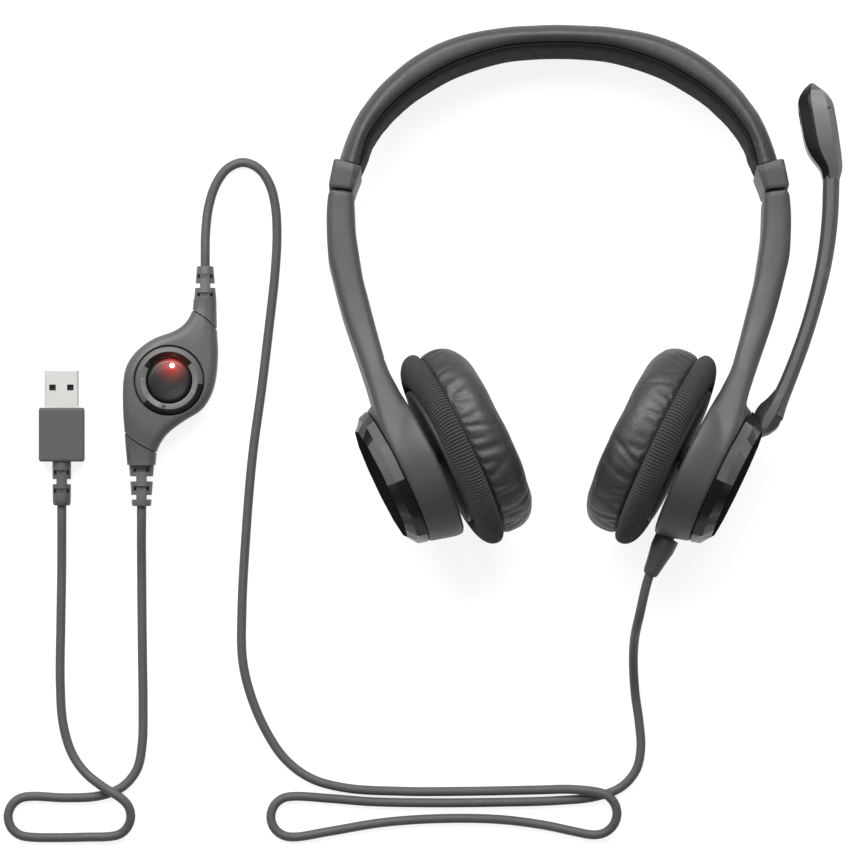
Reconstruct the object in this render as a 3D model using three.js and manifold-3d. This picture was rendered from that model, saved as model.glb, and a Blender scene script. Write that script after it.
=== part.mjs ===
// On-ear office headset with a stowed microphone boom, an in-line control and a USB-A plug,
// lying on its back. Millimetres, +X to the wearer's left of the sheet, +Y towards the top of
// the headband, +Z up from the surface. The origin is at the middle of the headset's footprint,
// on the surface that it lies on.
import * as THREE from 'three';
import { mergeVertices } from 'three/addons/utils/BufferGeometryUtils.js';
import Module from 'manifold-3d';

// ---------------------------------------------------------------- driving dimensions (mm)
const GAP = 0.3;                       // clearance between fixed neighbours
const LIE_ANGLE = 8.9;                 // how far the headset leans when it rests on its back, degrees
const SURFACE_TO_HEADSET = 36.532;      // height of the headset's own origin over the surface

const BAND_HALF_WIDTH = 14.0;
const SLEEVE_HALF_WIDTH = 14.4;
const ARM_HALF_WIDTH = 12.4;
const STRIP_THICKNESS = 1.0;
const STRIP_WIDTH = 15.0;

const CUP_CENTRE = [50.9, -6.6];       // x and height of the cup axis at its parting plane
const CUP_SLANT = 26.1;                // lean of the cup from the vertical, degrees
const CUP_TOE = 1.8;                   // toe-in of the cup, degrees
const BALL_AT = 2.0;                   // ball centre along the cup axis
const BALL_R = 4.0;
const HOUSING_R = 28.0;
const COVER_R = 25.2;
const PLATE_R = 25.0;
const RING_R = 36.2;
const CUSHION_R = 34.2;

const CORD_D = 3.3;
const CORD_Z = 1.7;

const CTRL_THICK = 13.0;               // in-line control
const DIAL = [-137.0, 24.4];
const DIAL_R = 12.4;
const MUTE_R = 7.85;

const PLUG_X = -175.25;                // USB plug centre line
const PLUG_Z = 4.2;
const USB_W = 12.0, USB_T = 4.5;

// ---------------------------------------------------------------- solid helpers
const wasm = await Module();
wasm.setup();

function toSolid(geometry) {
  let g = geometry.clone();
  g.deleteAttribute('normal');
  g.deleteAttribute('uv');
  g = mergeVertices(g, 1e-4);
  const index = g.index.array;
  const tri = [];
  for (let i = 0; i < index.length; i += 3) {
    const [a, b, c] = [index[i], index[i + 1], index[i + 2]];
    if (a !== b && b !== c && a !== c) tri.push(a, b, c);
  }
  return new wasm.Manifold(new wasm.Mesh({
    numProp: 3,
    vertProperties: new Float32Array(g.attributes.position.array),
    triVerts: new Uint32Array(tri),
  }));
}

function toGeometry(solid) {
  const m = solid.getMesh();
  const n = m.numProp;
  const count = m.vertProperties.length / n;
  const pos = new Float32Array(count * 3);
  for (let i = 0; i < count; i++) for (let k = 0; k < 3; k++) pos[i * 3 + k] = m.vertProperties[i * n + k];
  const g = new THREE.BufferGeometry();
  g.setAttribute('position', new THREE.BufferAttribute(pos, 3));
  g.setIndex(Array.from(m.triVerts));
  return g;
}

// a - b - c ..., as geometry
function cut(a, ...rest) {
  let s = toSolid(a);
  for (const r of rest) s = s.subtract(toSolid(r));
  return toGeometry(s);
}
function join(a, ...rest) {
  let s = toSolid(a);
  for (const r of rest) s = s.add(toSolid(r));
  return toGeometry(s);
}
function common(a, b) {
  return toGeometry(toSolid(a).intersect(toSolid(b)));
}

function box(x0, x1, y0, y1, z0, z1) {
  const g = new THREE.BoxGeometry(x1 - x0, y1 - y0, z1 - z0);
  g.translate((x0 + x1) / 2, (y0 + y1) / 2, (z0 + z1) / 2);
  return g;
}

// cylinder along +Z
function rod(r, z0, z1, seg = 24, x = 0, y = 0, r1 = r) {
  const g = new THREE.CylinderGeometry(r1, r, z1 - z0, seg);
  g.rotateX(Math.PI / 2);
  g.translate(x, y, (z0 + z1) / 2);
  return g;
}

// profile of [radius, height] pairs turned about +Z; closed when it starts off the axis
function turned(profile, seg = 36) {
  const pts = profile.map(([r, z]) => new THREE.Vector2(r, z));
  if (profile[0][0] > 1e-6) pts.push(pts[0].clone());
  let area = 0;
  for (let i = 0; i < pts.length; i++) {
    const p = pts[i], q = pts[(i + 1) % pts.length];
    area += p.x * q.y - q.x * p.y;
  }
  if (area < 0) pts.reverse();
  const g = new THREE.LatheGeometry(pts, seg);
  g.rotateX(Math.PI / 2);
  return g;
}

function volume(pos, idx) {
  let v = 0;
  const a = new THREE.Vector3(), b = new THREE.Vector3(), c = new THREE.Vector3();
  for (let i = 0; i < idx.length; i += 3) {
    a.fromArray(pos, idx[i] * 3); b.fromArray(pos, idx[i + 1] * 3); c.fromArray(pos, idx[i + 2] * 3);
    v += a.dot(b.cross(c));
  }
  return v;
}

// closed skin through stations; each is {o, u, v, pts}: an origin, two in-plane axes and a 2-D loop
function loft(stations) {
  const n = stations[0].pts.length;
  const pos = [];
  for (const s of stations) {
    for (const [p, q] of s.pts) {
      const w = s.o.clone().addScaledVector(s.u, p).addScaledVector(s.v, q);
      pos.push(w.x, w.y, w.z);
    }
  }
  const idx = [];
  for (let k = 0; k + 1 < stations.length; k++) {
    for (let i = 0; i < n; i++) {
      const a = k * n + i, b = k * n + (i + 1) % n, c = a + n, d = b + n;
      idx.push(a, b, d, a, d, c);
    }
  }
  // a cap's triangles run with the loop at the last station and against it at the first
  const cap = (s, base, along) => {
    const loop = s.pts.map(([p, q]) => new THREE.Vector2(p, q));
    const turn = THREE.ShapeUtils.area(loop) > 0;
    for (const [a, b, c] of THREE.ShapeUtils.triangulateShape(loop, [])) {
      const same = (THREE.ShapeUtils.area([loop[a], loop[b], loop[c]]) > 0) === turn;
      if (same === along) idx.push(base + a, base + b, base + c);
      else idx.push(base + a, base + c, base + b);
    }
  };
  cap(stations[0], 0, false);
  cap(stations[stations.length - 1], (stations.length - 1) * n, true);
  let out = idx;
  if (volume(pos, idx) < 0) {
    out = [];
    for (let i = 0; i < idx.length; i += 3) out.push(idx[i], idx[i + 2], idx[i + 1]);
  }
  const g = new THREE.BufferGeometry();
  g.setAttribute('position', new THREE.BufferAttribute(new Float32Array(pos), 3));
  g.setIndex(out);
  return g;
}

// rectangle p0..p1 by q0..q1 with cut corners, as an 8-point loop
function chamfered(p0, p1, q0, q1, c) {
  return [[p0 + c, q0], [p1 - c, q0], [p1, q0 + c], [p1, q1 - c], [p1 - c, q1], [p0 + c, q1], [p0, q1 - c], [p0, q0 + c]];
}

function spline(points, count) {
  const curve = new THREE.CatmullRomCurve3(points.map(([x, y]) => new THREE.Vector3(x, y, 0)), false, 'centripetal');
  return curve.getSpacedPoints(count).map((p) => [p.x, p.y]);
}

const mirrorX = (g) => {
  const m = g.clone();
  const p = m.attributes.position;
  for (let i = 0; i < p.count; i++) p.setX(i, -p.getX(i));
  const src = m.index ? Array.from(m.index.array) : Array.from({ length: p.count }, (_, i) => i);
  const out = [];
  for (let i = 0; i < src.length; i += 3) out.push(src[i], src[i + 2], src[i + 1]);
  m.setIndex(out);
  if (m.attributes.normal) m.deleteAttribute('normal');
  return m;
};

// ---------------------------------------------------------------- scene graph and materials
const part = new THREE.Group();
const desk = new THREE.Group();        // pieces that lie straight on the surface
const headset = new THREE.Group();     // the headset's own frame: x across, y up, z to the front
headset.rotation.x = -THREE.MathUtils.degToRad(LIE_ANGLE);
headset.position.z = SURFACE_TO_HEADSET;
part.add(desk, headset);

const finish = (color, roughness, metalness = 0) => () => new THREE.MeshStandardMaterial({ color, roughness, metalness });
const GRAPHITE = finish(0x55554f, 0.5);
const GLOSS = finish(0x161616, 0.12);
const LEATHER = finish(0x2b2b2a, 0.45);
const KNIT = finish(0x2a2a29, 0.9);
const STEEL = finish(0xb4b4b0, 0.3, 1);
const DARK = finish(0x1c1c1c, 0.6);
const CABLE = finish(0x4b4b49, 0.55);
const NICKEL = finish(0xc8c8c6, 0.25, 1);
const BOARD = finish(0x1f5a34, 0.5);
const LENS = finish(0xff2a1a, 0.3);
const CLOTH = finish(0x1a1a1a, 0.95);
const MAGNET = finish(0x77777a, 0.35, 1);

function add(parent, name, geometry, material) {
  const mesh = new THREE.Mesh(geometry, material());
  mesh.name = name;
  parent.add(mesh);
  return mesh;
}

// ---------------------------------------------------------------- headband
// left half of the band's outer line and of the seam between cover and pad, x and height
const OUTER = [[0, 150.6], [-9, 150.3], [-17.5, 149.8], [-32.2, 147.3], [-42.1, 143.9], [-48.7, 140.4], [-54.0, 136.8], [-58.2, 133.2], [-61.9, 129.7], [-65.1, 126.1], [-67.7, 122.6], [-70.2, 119.0], [-72.1, 115.5], [-73.7, 111.9], [-75.3, 107.6], [-77.3, 101.15]];
const SEAM = [[0, 142.8], [-9, 142.5], [-19.8, 141.2], [-36.3, 135.8], [-46.0, 130.4], [-52.8, 125.7], [-58.0, 120.9], [-62.3, 116.1], [-66.7, 109.3], [-68.4, 104.2], [-69.6, 99.0]];

function bandStations(count, section) {
  const o = spline(OUTER, 24), s = spline(SEAM, 24);
  const at = (list, t) => {
    const k = Math.min(Math.floor(t * 24), 23), f = t * 24 - k;
    return [list[k][0] + (list[k + 1][0] - list[k][0]) * f, list[k][1] + (list[k + 1][1] - list[k][1]) * f];
  };
  const half = [];
  for (let i = 0; i <= count; i++) {
    const t = i / count;
    half.push([at(o, t), at(s, t)]);
  }
  const all = [];
  for (let i = count; i > 0; i--) all.push(half[i]);
  for (let i = 0; i <= count; i++) all.push(half[i].map(([x, y]) => [-x, y]));
  return all.map(([a, b]) => {
    const u = new THREE.Vector3(b[0] - a[0], b[1] - a[1], 0);
    const t = u.length();
    u.normalize();
    return { o: new THREE.Vector3(a[0], a[1], 0), u, v: new THREE.Vector3(0, 0, 1), pts: section(t) };
  });
}

const W = BAND_HALF_WIDTH;
add(headset, 'headband_cover', loft(bandStations(11, (t) => [
  [0, -W + 4.6], [0.9, -W + 1.6], [2.6, -W + 0.2], [t - 1.2, -W], [t, -W + 0.6],
  [t, -W + 2.6], [2.0, -W + 2.9], [2.0, W - 2.9], [t, W - 2.6],
  [t, W - 0.6], [t - 1.2, W], [2.6, W - 0.2], [0.9, W - 1.6], [0, W - 4.6]])), LEATHER);
add(headset, 'headband_pad', loft(bandStations(11, (t) => [
  [t - 2.4, -W + 3.4], [t + GAP, -W + 3.2], [t + GAP, -W + 1.0], [t + 0.9, -W + 1.6], [t + 1.7, -W + 5],
  [t + 1.7, W - 5], [t + 0.9, W - 1.6], [t + GAP, W - 1.0], [t + GAP, W - 3.2], [t - 2.4, W - 3.4]])), LEATHER);
add(headset, 'headband_spring', loft(bandStations(9, () => [[2.2, -6.5], [2.2, 6.5], [2.8, 6.5], [2.8, -6.5]]).slice(3, -3)), STEEL);

// adjusting strips: straight spring-steel tongues that slide inside the band's ends
const STRIP_TOP = [-68.0, 117.4], STRIP_AT_ARM = [-75.6, 92.0];
const stripDir = new THREE.Vector3(STRIP_AT_ARM[0] - STRIP_TOP[0], STRIP_AT_ARM[1] - STRIP_TOP[1], 0).normalize();
const stripNormal = new THREE.Vector3(-stripDir.y, stripDir.x, 0);
function stripBlock(from, to, half, wide) {
  return loft([from, to].map((d) => ({
    o: new THREE.Vector3(STRIP_TOP[0], STRIP_TOP[1], 0).addScaledVector(stripDir, d),
    u: stripNormal, v: new THREE.Vector3(0, 0, 1),
    pts: [[-half, -wide], [half, -wide], [half, wide], [-half, wide]],
  })));
}
const STRIP_REACH = 32;                // from its free end to its root in the arm
const leftStrip = stripBlock(0, STRIP_REACH, STRIP_THICKNESS / 2, STRIP_WIDTH / 2);

// sleeves that finish the band's ends and guide the strips
const sleeveBody = loft([
  [[-78.6, 101.2], [-68.9, 98.5], 13.9], [[-79.2, 98.6], [-69.7, 96.2], SLEEVE_HALF_WIDTH], [[-80.6, 91.3], [-71.75, 90.2], SLEEVE_HALF_WIDTH - 0.7],
].map(([a, b, w]) => {
  const u = new THREE.Vector3(b[0] - a[0], b[1] - a[1], 0);
  const t = u.length();
  return { o: new THREE.Vector3(a[0], a[1], 0), u: u.normalize(), v: new THREE.Vector3(0, 0, 1), pts: chamfered(0, t, -w, w, 1.8) };
}));
const leftSleeve = cut(sleeveBody, stripBlock(8, 40, STRIP_THICKNESS / 2 + 0.5, STRIP_WIDTH / 2 + 0.5));
add(headset, 'left_sleeve', leftSleeve, GRAPHITE);
add(headset, 'right_sleeve', mirrorX(leftSleeve), GRAPHITE);

// ---------------------------------------------------------------- cup frame
// local z runs from the outside to the ear, local y up along the cup, local x to the rear (left cup)
const slant = THREE.MathUtils.degToRad(CUP_SLANT), toe = THREE.MathUtils.degToRad(CUP_TOE);
const cupZ = new THREE.Vector3(Math.cos(toe) * Math.cos(slant), Math.cos(toe) * Math.sin(slant), -Math.sin(toe));
const cupY = new THREE.Vector3(-Math.sin(slant), Math.cos(slant), 0);
const cupX = new THREE.Vector3().crossVectors(cupY, cupZ);
const cupMatrix = new THREE.Matrix4().makeBasis(cupX, cupY, cupZ).setPosition(-CUP_CENTRE[0], CUP_CENTRE[1], 0);
const inCup = (g) => g.clone().applyMatrix4(cupMatrix);

// ---------------------------------------------------------------- arm with its cup housing
const ARM_OUT = [[-80.6, 90.7], [-81.2, 84.0], [-81.2, 76.5], [-80.6, 67.3], [-79.3, 61.5], [-77.2, 53.1], [-75.1, 45.7], [-70.6, 32.6], [-68.1, 25.3], [-66.3, 19.5], [-64.0, 12.0]];
const ARM_IN = [[-71.6, 89.7], [-71.3, 82.5], [-70.9, 75.5], [-69.7, 67.3], [-68.5, 59.9], [-66.8, 53.1], [-64.9, 45.7], [-62.2, 35.4], [-59.4, 26.0], [-56.6, 19.5], [-53.0, 12.0]];
const ARM_WIDE = [12.9, 12.5, ARM_HALF_WIDTH, 12.4, 12.5, 12.8, 13.4, 15.2, 17.0, 19.0, 21.5];
const armBody = loft(ARM_OUT.map((a, i) => {
  const b = ARM_IN[i];
  const u = new THREE.Vector3(b[0] - a[0], b[1] - a[1], 0);
  const t = u.length();
  return { o: new THREE.Vector3(a[0], a[1], 0), u: u.normalize(), v: new THREE.Vector3(0, 0, 1), pts: chamfered(0, t, -ARM_WIDE[i], ARM_WIDE[i], 2.1) };
}));
const housingBody = turned([[0, -6.0], [COVER_R, -6.0], [26.0, -3.0], [27.4, 2.0], [HOUSING_R, 5.4], [27.5, 6.6], [0, 6.6]], 28);
const outsideOfCover = turned([[0, -30], [60, -30], [60, -6.05], [0, -6.05]], 24);
const outerRecess = turned([[0, -8], [22.6, -8], [22.6, -5], [24.4, 2.6], [0, 2.6]], 20);
const innerRecess = turned([[0, 4.7], [23.8, 4.7], [23.8, 9], [0, 9]], 24);
const earSide = turned([[0, 6.65], [40, 6.65], [48, 24], [0, 24]], 24);
const socketHole = rod(7.3, 1, 6, 16);
const leftArmRaw = toSolid(armBody).subtract(toSolid(inCup(outsideOfCover))).add(toSolid(inCup(housingBody)))
  .subtract(toSolid(inCup(outerRecess))).subtract(toSolid(inCup(innerRecess)))
  .subtract(toSolid(inCup(earSide))).subtract(toSolid(inCup(socketHole)))
  .subtract(toSolid(stripBlock(20, STRIP_REACH + GAP, STRIP_THICKNESS / 2 + GAP, STRIP_WIDTH / 2 + GAP)));
const leftArm = toGeometry(leftArmRaw);

// right arm is the mirror image with a gland hole for the cord at the foot of the housing
const GLAND_ANGLE = 12;                // towards the rear, degrees
const GLAND_AT = 1.6;                  // along the cup axis
const glandRadius = 27.25;
const gland = new THREE.Matrix4().makeRotationZ(THREE.MathUtils.degToRad(GLAND_ANGLE));
const toGland = (g) => {               // local +Z of g runs outwards from the housing wall
  const m = g.clone();
  m.rotateX(Math.PI / 2);              // +Z to -Y
  m.translate(0, -glandRadius, GLAND_AT);
  m.applyMatrix4(gland);
  return m;
};
// rear is +x in the left cup, so the gland turns towards +x there and mirrors to the rear on the right
const rightArm = mirrorX(cut(leftArm, inCup(toGland(rod(3.1, -6, 4, 12)))));

const innerCover = inCup(turned([[6.3, 4.95], [23.4, 4.95], [23.4, 6.3], [22.6, 6.6], [6.3, 6.6]], 24));
const socket = inCup(turned([[0, -3.4], [6.8, -3.4], [6.8, -0.2], [9.4, -0.2], [9.4, 2.3], [6.8, 2.3], [6.8, 4.5],
  [3.65, 4.5], [4.15, 3.3], [4.35, 2.0], [4.1, 0.55], [3.3, -0.85], [1.9, -1.9], [0, -2.35]], 12));
const outerCover = inCup(turned([[0, -12.9], [14, -12.85], [20.6, -12.7], [24.2, -9.6], [25.0, -6.35], [23.4, -6.35], [22.6, -9.0], [19.6, -11.2], [0, -11.4]], 24));

add(headset, 'left_slider_strip', leftStrip, STEEL);
add(headset, 'left_arm', leftArm, GRAPHITE);
add(headset, 'left_inner_cover', innerCover, DARK);
add(headset, 'left_ball_socket', socket, DARK);
add(headset, 'left_outer_cover', outerCover, GLOSS);
add(headset, 'right_slider_strip', mirrorX(leftStrip), STEEL);
add(headset, 'right_arm', rightArm, GRAPHITE);
add(headset, 'right_inner_cover', mirrorX(innerCover), DARK);
add(headset, 'right_ball_socket', mirrorX(socket), DARK);

// ---------------------------------------------------------------- ear cups on their ball joints
const arc = (r, from, to, n, zc) => Array.from({ length: n + 1 }, (_, i) => {
  const a = THREE.MathUtils.degToRad(from + (to - from) * i / n);
  return [r * Math.cos(a), zc + r * Math.sin(a)];
});
const carrier = inCup(turned([[0, BALL_AT - BALL_R], ...arc(BALL_R, -70, 48, 5, BALL_AT), [1.9, 5.4], [1.9, 9.3], [24.4, 9.3], [PLATE_R, 9.9], [PLATE_R, 10.8], [24.4, 11.2], [0, 11.2]], 20));
const collar = inCup(turned([[2.85, 7.2], [4.9, 7.2], [4.9, 8.7], [2.85, 8.7]], 16));
const ring = inCup(turned([[25.4, 10.5], [28.6, 10.0], [32.8, 11.2], [35.4, 13.2], [RING_R, 15.4], [35.9, 17.0], [34.6, 18.3], [20.5, 18.3], [20.5, 11.6], [25.4, 11.6]], 26));
const baffle = inCup(turned([[17.2, 16.4], [20.1, 16.4], [20.1, 18.6], [33.0, 18.6], [33.0, 20.2], [14.4, 20.2], [14.4, 18.6], [17.2, 18.6]], 20));
const driverFrame = inCup(turned([[8.2, 12.9], [16.8, 12.9], [16.8, 18.2], [13.9, 18.2], [13.9, 19.6], [8.2, 18.9]], 16));
const driverMagnet = inCup(turned([[0, 11.6], [7.8, 11.6], [7.8, 16.6], [0, 16.6]], 16));
const cushion = inCup(turned([[CUSHION_R - 0.6, 18.9], [CUSHION_R, 20.6], [34.4, 23.2], [33.9, 26.6], [31.8, 30.0], [28.6, 32.2], [25.0, 33.0], [21.0, 32.2], [17.6, 29.4], [16.0, 25.4], [15.4, 21.2], [33.3, 20.5], [33.3, 18.9]], 26));
const cloth = inCup(turned([[0, 20.5], [14.8, 20.6], [14.8, 21.2], [0, 21.1]], 16));
for (const [side, m] of [['left', (g) => g], ['right', mirrorX]]) {
  add(headset, `${side}_pivot_collar`, m(collar), DARK);
  add(headset, `${side}_pad_carrier`, m(carrier), GRAPHITE);
  add(headset, `${side}_fabric_ring`, m(ring), KNIT);
  add(headset, `${side}_baffle`, m(baffle), DARK);
  add(headset, `${side}_driver`, m(driverFrame), DARK);
  add(headset, `${side}_driver_magnet`, m(driverMagnet), MAGNET);
  add(headset, `${side}_ear_cushion`, m(cushion), LEATHER);
  add(headset, `${side}_speaker_cloth`, m(cloth), CLOTH);
}

// ---------------------------------------------------------------- microphone boom on the right cup
const bearing = mirrorX(inCup(turned([[6.5, -3.9], [11.5, -3.9], [11.5, -8.6], [9.6, -8.6], [9.6, -5.4], [6.5, -5.4]], 16)));
add(headset, 'boom_bearing', bearing, DARK);
const hubDisc = turned([[0, -12.9], [14, -12.85], [20.6, -12.7], [24.2, -9.6], [25.0, -6.35], [23.4, -6.35], [22.6, -9.0], [19.6, -11.2], [6.2, -11.4], [6.2, -3.8], [0, -3.8]], 24);
// boom centre line in the headset's frame: x, height, half thickness, half width
const BOOM = [[74.9, 12.2, 3.6, 4.8], [77.2, 17.6, 3.0, 4.4], [80.3, 24.8, 2.7, 4.1], [85.7, 39.0, 2.6, 4.0], [90.0, 53.1, 2.6, 4.0], [93.3, 67.3, 2.7, 4.0], [95.2, 81.5, 2.8, 4.0], [95.9, 95.2, 2.9, 4.1]];
const boomStations = BOOM.map(([x, y, h, w], i) => {
  const a = BOOM[Math.max(i - 1, 0)], b = BOOM[Math.min(i + 1, BOOM.length - 1)];
  const t = new THREE.Vector3(b[0] - a[0], b[1] - a[1], 0).normalize();
  return { o: new THREE.Vector3(x, y, 0), u: new THREE.Vector3(t.y, -t.x, 0), v: new THREE.Vector3(0, 0, 1), pts: chamfered(-h, h, -w, w, 1.3) };
});
// root block that carries the boom on the hub's rim
const rootBlock = loft([
  { o: new THREE.Vector3(69.2, 1.0, 0), u: new THREE.Vector3(0.9, -0.44, 0), v: new THREE.Vector3(0, 0, 1), pts: chamfered(-2.4, 2.6, -6.4, 6.4, 1.2) },
  { o: new THREE.Vector3(72.0, 6.4, 0), u: new THREE.Vector3(0.9, -0.44, 0), v: new THREE.Vector3(0, 0, 1), pts: chamfered(-3.6, 3.8, -5.8, 5.8, 1.2) },
  { o: new THREE.Vector3(74.75, 11.9, 0), u: new THREE.Vector3(0.9, -0.41, 0).normalize(), v: new THREE.Vector3(0, 0, 1), pts: chamfered(-3.6, 3.6, -4.8, 4.8, 1.2) },
]);
const boomHub = toGeometry(toSolid(mirrorX(inCup(hubDisc))).add(toSolid(rootBlock).subtract(toSolid(mirrorX(inCup(turned([[0, -11.4], [19.7, -11.4], [22.8, -9.1], [23.6, -6.4], [40, -6.4], [40, 12], [0, 12]], 24)))))));
add(headset, 'boom_hub', boomHub, GLOSS);
boomStations[0].o = new THREE.Vector3(75.0, 12.3, 0);
add(headset, 'boom_arm', loft(boomStations), GRAPHITE);

// microphone housing: horizontal slices of x from, x to, half depth
const MIC = [[95.6, 92.9, 98.9, 4.4], [99.4, 92.0, 99.8, 4.9], [104.2, 88.6, 99.6, 5.5], [108.3, 86.8, 99.1, 5.8], [118.4, 85.0, 97.7, 5.9], [123.7, 84.4, 96.5, 5.6], [127.3, 86.0, 93.9, 4.6], [130.1, 88.4, 90.4, 2.6]];
const micBody = loft(MIC.map(([y, a, b, w]) => ({
  o: new THREE.Vector3(0, y, 0), u: new THREE.Vector3(1, 0, 0), v: new THREE.Vector3(0, 0, 1), pts: chamfered(a, b, -w, w, Math.min(1.9, (b - a) / 3, w / 2)),
})));
const micAxis = (r0, from, to, seg = 14) => {    // rod along +X at the microphone's height
  const g = new THREE.CylinderGeometry(r0, r0, to - from, seg);
  g.rotateZ(Math.PI / 2);
  g.translate((from + to) / 2, 118, 0);
  return g;
};
add(headset, 'mic_housing', cut(micBody, micAxis(3.6, 80, 92.4)), GLOSS);
add(headset, 'mic_capsule', micAxis(3.0, 88.4, 92.0), MAGNET);
add(headset, 'mic_grille', micAxis(3.25, 85.9, 86.7), DARK);

// ---------------------------------------------------------------- strain relief on the right housing
const reliefShape = turned([[0, -3.2], [2.6, -3.2], [2.6, 1.9], [4.6, 1.9], [4.5, 4.4], [3.7, 8.5], [2.9, 13.5], [2.4, 14.6], [0, 14.6]], 12);
add(headset, 'cord_relief', mirrorX(inCup(toGland(reliefShape))), CABLE);

// ---------------------------------------------------------------- in-line control
const CTRL = [[-129.0, 49.2], [-131.2, 45.1], [-135.1, 42.1], [-142.8, 39.1], [-148.5, 34.9], [-152.0, 29.9], [-153.3, 24.3], [-153.4, 14.0], [-152.9, 6.3], [-141.6, -0.8], [-139.8, 3.1], [-136.8, 6.6], [-131.9, 10.2], [-126.0, 14.0], [-122.4, 19.3], [-120.6, 25.9], [-120.0, 34.2], [-120.4, 42.3]];
const outline = (pts) => new THREE.Shape(pts.map(([x, y]) => new THREE.Vector2(x, y)));
function slab(pts, z0, z1, bevel = 0, inset = 0) {
  const g = new THREE.ExtrudeGeometry(outline(pts), {
    depth: z1 - z0 - 2 * bevel, bevelEnabled: bevel > 0 || inset > 0, bevelThickness: bevel, bevelSize: bevel > 0 ? bevel : 0,
    bevelOffset: -bevel - inset, bevelSegments: 2, steps: 1,
  });
  g.translate(0, 0, z0 + bevel);
  return g;
}
// shrink a loop towards its own middle line by a wall thickness
function inset(pts, d) {
  const n = pts.length;
  const area = THREE.ShapeUtils.area(pts.map(([x, y]) => new THREE.Vector2(x, y)));
  const sgn = area > 0 ? 1 : -1;
  return pts.map(([x, y], i) => {
    const [ax, ay] = pts[(i + n - 1) % n], [bx, by] = pts[(i + 1) % n];
    const n1 = new THREE.Vector2(-(y - ay), x - ax).normalize(), n2 = new THREE.Vector2(-(by - y), bx - x).normalize();
    const m = n1.add(n2).normalize();
    const k = d / Math.max(m.dot(n2), 0.5);
    return [x + sgn * m.x * k, y + sgn * m.y * k];
  });
}
const HALF = CTRL_THICK / 2;
const ctrlFull = slab(CTRL, 0, CTRL_THICK, 1.7);
const cavityPts = inset(CTRL, 1.9);
const big = (z0, z1) => box(-170, -100, -20, 70, z0, z1);
const ctrlRear = toGeometry(toSolid(ctrlFull).intersect(toSolid(big(-1, HALF - GAP / 2))).subtract(toSolid(slab(cavityPts, 1.6, HALF + 1))));
const ctrlFront = toGeometry(toSolid(ctrlFull).intersect(toSolid(big(HALF + GAP / 2, 20))).subtract(toSolid(slab(cavityPts, HALF - 1, CTRL_THICK - 1.6)))
  .subtract(toSolid(rod(DIAL_R, 5, 20, 28, DIAL[0], DIAL[1]))));
add(desk, 'control_rear', ctrlRear, GRAPHITE);
add(desk, 'control_front', ctrlFront, GRAPHITE);
add(desk, 'control_board', cut(slab(inset(CTRL, 3.4), 4.0, 5.2), rod(1.2, 3, 6, 12, -145.5, 12), rod(1.2, 3, 6, 12, -126.5, 36)), BOARD);
add(desk, 'mute_switch', join(rod(3.0, 5.5, 6.7, 12, DIAL[0], DIAL[1]), rod(1.5, 6.6, 7.6, 8, DIAL[0], DIAL[1])), DARK);
// rocker ring: presses + or - as it tips about the axis across the two marks
add(desk, 'volume_rocker', (() => {
  const g = turned([[8.2, 8.2], [12.05, 8.2], [12.05, 12.4], [11.5, 13.3], [10.6, 13.5], [8.2, 12.9]], 28);
  g.translate(DIAL[0], DIAL[1], 0);
  return g;
})(), GRAPHITE);
const MUTE_TOP = [[0, 8.6], [7.3, 8.6], [MUTE_R, 9.1], [MUTE_R, 12.8], [7.2, 13.5], [4.0, 13.9], [0, 14.0]];
const LED_AT = [-135.9, 29.7];
const muteBody = turned(MUTE_TOP, 20);
muteBody.translate(DIAL[0], DIAL[1], 0);
add(desk, 'mute_button', cut(muteBody, rod(1.15, 10.4, 16, 10, LED_AT[0], LED_AT[1])), GLOSS);
add(desk, 'mute_led', rod(0.8, 10.7, 13.85, 10, LED_AT[0], LED_AT[1]), LENS);

// moulded ends and strain reliefs of the control
const CORD_MID = 5.2;                  // height of the cord where it enters the control
function ribbed(x, y0, y1, r0, r1, ribs) {       // tapering bush along Y with grooves
  const prof = [[0, 0]];
  const len = y1 - y0, step = Math.abs(len) / ribs;
  for (let i = 0; i < ribs; i++) {
    const a = r0 + (r1 - r0) * i / ribs, b = r0 + (r1 - r0) * (i + 0.62) / ribs;
    prof.push([a, i * step], [b, (i + 0.62) * step], [b - 1.1, (i + 0.64) * step], [b - 1.1, (i + 0.98) * step]);
  }
  prof.push([r1 - 0.6, Math.abs(len)], [0, Math.abs(len)]);
  const g = turned(prof, 12);
  g.rotateX(len > 0 ? -Math.PI / 2 : Math.PI / 2);
  g.translate(x, y0, CORD_MID);
  return g;
}
const topCap = slab([[-128.5, 53.3], [-129.2, 49.6], [-120.5, 42.75], [-120.6, 53.3]].reverse(), 0.9, 10.6, 1.0);
const botCap = slab([[-152.9, 5.85], [-152.0, -5.4], [-142.3, -5.4], [-141.5, -1.3]], 0.9, 10.6, 1.0);
add(desk, 'control_top_relief', join(topCap, ribbed(-124.5, 53.0, 64.9, 3.9, 2.9, 3)), CABLE);
add(desk, 'control_bottom_relief', join(botCap, ribbed(-147.0, -5.2, -19.9, 4.6, 3.4, 4)), CABLE);

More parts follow.
